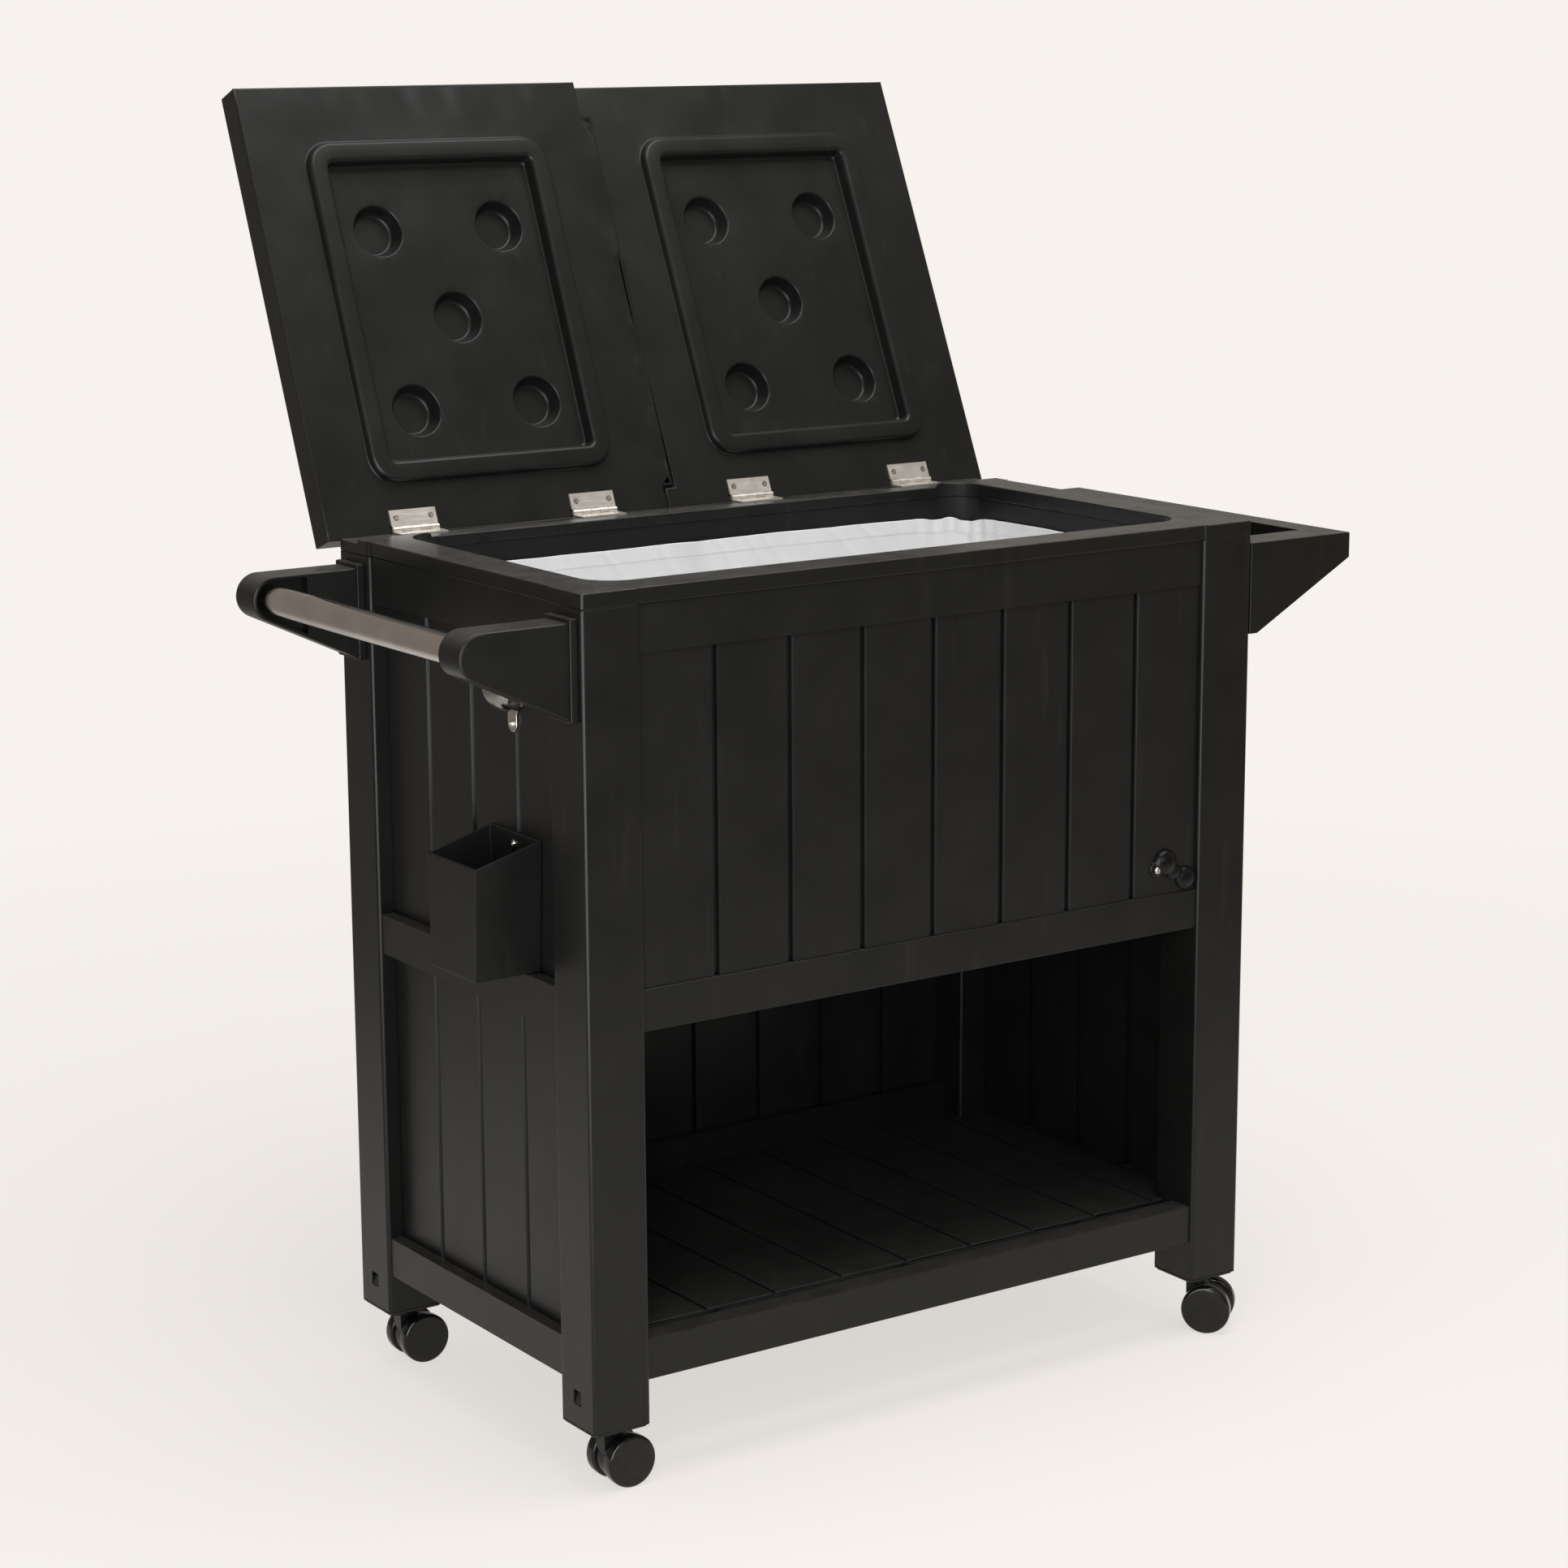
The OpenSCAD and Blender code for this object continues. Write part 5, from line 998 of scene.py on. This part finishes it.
for inset, rise in plate_steps:
    plate_loops.append(add_loop(casting, [
        (opener_x - rise, opener_y + y, z) for y, z in inset_outline(plate_outline, inset)]))
for first, second in zip(plate_loops, plate_loops[1:]):
    bridge(casting, first, second)
casting.faces.new(plate_loops[0])
casting.faces.new(plate_loops[-1])
opener_steel = metal("opener_steel", (0.60, 0.575, 0.555), (0.44, 0.42, 0.405), (0.12, 0.22),
                     300.0, (1.0, 1.0, 0.2))
opener = new_piece("opener_casting", casting, opener_steel, "root")
rounding = opener.modifiers.new("rounding", "BEVEL")
rounding.width = 0.0007
rounding.segments = 3
rounding.limit_method = "ANGLE"
rounding.angle_limit = sharp_angle
rounding.use_clamp_overlap = False
opener.modifiers.new("shading", "WEIGHTED_NORMAL")
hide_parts("bottle_opener")

# Cap catcher: a thin tapered box of black resin with an open, sloping top.
# One screw through its back wall holds it on the left panel under the opener.
finish_node("cap_catcher", resin("catcher_resin", rough=(0.34, 0.44), dust_and_top_light_share=0.1), 0.0008)

# Drain plug: soft black rubber, a bulging strap lobe under a screw and a plug in the spout.
# It is moulded in one piece, and the plug is pushed into the spout and pulled out by hand.
rubber_black = (0.0035, 0.0035, 0.0035)
rubber_bloom = (0.008, 0.008, 0.008)
rubber, tree, shader, place = new_material("rubber")
bloom = noise_node(tree, place["Object"], 120.0, 4.0)
two_toned(tree, shader, bloom, (0.4, 0.8), rubber_black, rubber_bloom)
tree.links.new(spread(tree, bloom, 0.3, 0.7, 0.24, 0.36), shader.inputs["Roughness"])
shader.inputs["Specular IOR Level"].default_value = 0.2
bump(tree, shader, (noise_node(tree, place["Object"], 1200.0, 2.0), 0.00004))
drain_low, drain_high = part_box("drain_plug")
spout_inset = 0.011          # from the plug's right side and its underside to the spout's middle
spout_x = drain_high.x - spout_inset
spout_z = drain_low.z + spout_inset
apron_step = 0.0015          # how far the front panel's apron stands proud of its planks
panel_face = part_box("front_panel")[0].y + apron_step
spout_out = 0.001
spout_lip = 0.0088
stem_radius = 0.0058
wall_gap = 0.0001
rubber_voxel = 0.0008
rubber_domes = (    # (right of and above the spout), (half width, depth, height)
    ((-0.0270, 0.0195), (0.0135, 0.0090, 0.0135)), ((-0.0380, 0.0135), (0.0088, 0.0034, 0.0088)),
    ((-0.0160, 0.0085), (0.0100, 0.0056, 0.0080)), ((0, 0), (0.0125, 0.0068, 0.0120)))
rubber_form = bmesh.new()
for (dome_x, dome_z), half_sizes in rubber_domes:
    middle = Matrix.Translation((spout_x + dome_x, panel_face, spout_z + dome_z))
    bmesh.ops.create_icosphere(rubber_form, subdivisions=4, radius=1,
                               matrix=middle @ Matrix.Diagonal((*half_sizes, 1)))
stem_turn = Matrix.Translation((spout_x, panel_face, spout_z)) @ Matrix.Rotation(-math.pi / 2, 4, "X")
stem_profile = ((0, -0.002), (stem_radius, -0.002), (stem_radius, 0.011), (stem_radius - 0.001, 0.012),
                (0, 0.012))
lathe(rubber_form, stem_profile, lambda p: stem_turn @ p)
plug = new_piece("drain_stopper", rubber_form, rubber, "root", turn_out=False)
melt = plug.modifiers.new("melt", "REMESH")
melt.mode = "VOXEL"
melt.voxel_size = rubber_voxel
melt.use_smooth_shade = True
plug.modifiers.new("ease", "SMOOTH").iterations = 6
shaped = bpy.data.meshes.new_from_object(plug.evaluated_get(bpy.context.evaluated_depsgraph_get()))
plug.modifiers.clear()
plug.data = shaped
for vertex in plug.data.vertices:
    from_axis = math.hypot(vertex.co.x - spout_x, vertex.co.z - spout_z)
    if from_axis > spout_lip:
        vertex.co.y = min(vertex.co.y, panel_face - wall_gap)
    elif from_axis > stem_radius + 0.0003:
        vertex.co.y = min(vertex.co.y, panel_face - spout_out - wall_gap)
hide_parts("drain_plug")

# Side tray: one black moulding screwed to the right posts, with a plain rim and an open well.
# Its underside slopes up from the back plate to the lip.
# The tray's top faces are pale, from dust and painted top light.
finish_node("side_tray", resin("tray_resin", rough=(0.28, 0.36), dust_and_top_light_share=0.7))

# Casters: two glossy nylon wheels on a steel axle, either side of a curved hood on a steel stem.
# Wheels and hood are moulded, and the stem is pushed up into the leg cap, where it turns.
nylon_black = (0.0055, 0.0055, 0.0055)
nylon_smear = (0.012, 0.012, 0.011)
caster_gloss, tree, shader, place = new_material("caster_gloss")
smear = noise_node(tree, place["Object"], 90.0, 4.0)
two_toned(tree, shader, smear, (0.4, 0.8), nylon_black, nylon_smear)
tree.links.new(spread(tree, smear, 0.3, 0.8, 0.09, 0.17), shader.inputs["Roughness"])
shader.inputs["Specular IOR Level"].default_value = 0.30
bump(tree, shader, (noise_node(tree, place["Object"], 25.0, 2.0), 0.0003))
hood_resin = resin("hood_resin", rough=(0.20, 0.30), dust_and_top_light_share=0.05, gloss=0.16)
wheel_width = 0.0145
wheel_profile = tuple((r / 1000, h / 1000) for r, h in (   # (radius, height from the inner face), in mm
    (0, 11.6), (3.05, 11.6), (3.05, 1.2), (8.0, 1.0), (9.0, 0.0), (22.5, 0.0), (24.4, 0.5), (25.2, 1.4),
    (25.5, 2.8), (25.5, 10.4), (25.42, 11.2), (25.15, 12.0), (24.7, 12.7), (24.1, 13.25), (23.3, 13.62),
    (22.2, 13.85), (20.5, 14.02), (17.0, 14.22), (12.0, 14.38), (7.0, 14.46), (0, 14.5)))
for corner in ("fl", "fr", "rl", "rr"):
    finish_node(f"caster_{corner}_hood", hood_resin, 0.0012)
    finish_node(f"caster_{corner}_pins", screw_steel, 0)
    hood_low, hood_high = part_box(f"caster_{corner}_hood")
    for side in ("out", "in"):
        roll = joint_named(f"caster_{corner}_{side}_roll")
        low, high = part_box(f"caster_{corner}_wheel_{side}")
        pivot = Vector(roll["pos_m"])
        away = (low + high) / 2 - (hood_low + hood_high) / 2
        axis = Vector(roll["axis"])
        axis = axis if axis.dot(away) > 0 else -axis
        turn = axis.to_track_quat("Z", "Y").to_matrix().to_4x4()
        turn = Matrix.Translation(pivot - axis * wheel_width / 2) @ turn
        disc = bmesh.new()
        lathe(disc, wheel_profile, lambda p: turn @ p, steps=96)
        wheel = new_piece(f"wheel_{corner}_{side}", disc, caster_gloss, f"caster_{corner}_wheel_{side}")
        wheel.data.set_sharp_from_angle(angle=sharp_angle)
        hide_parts(f"caster_{corner}_wheel_{side}")
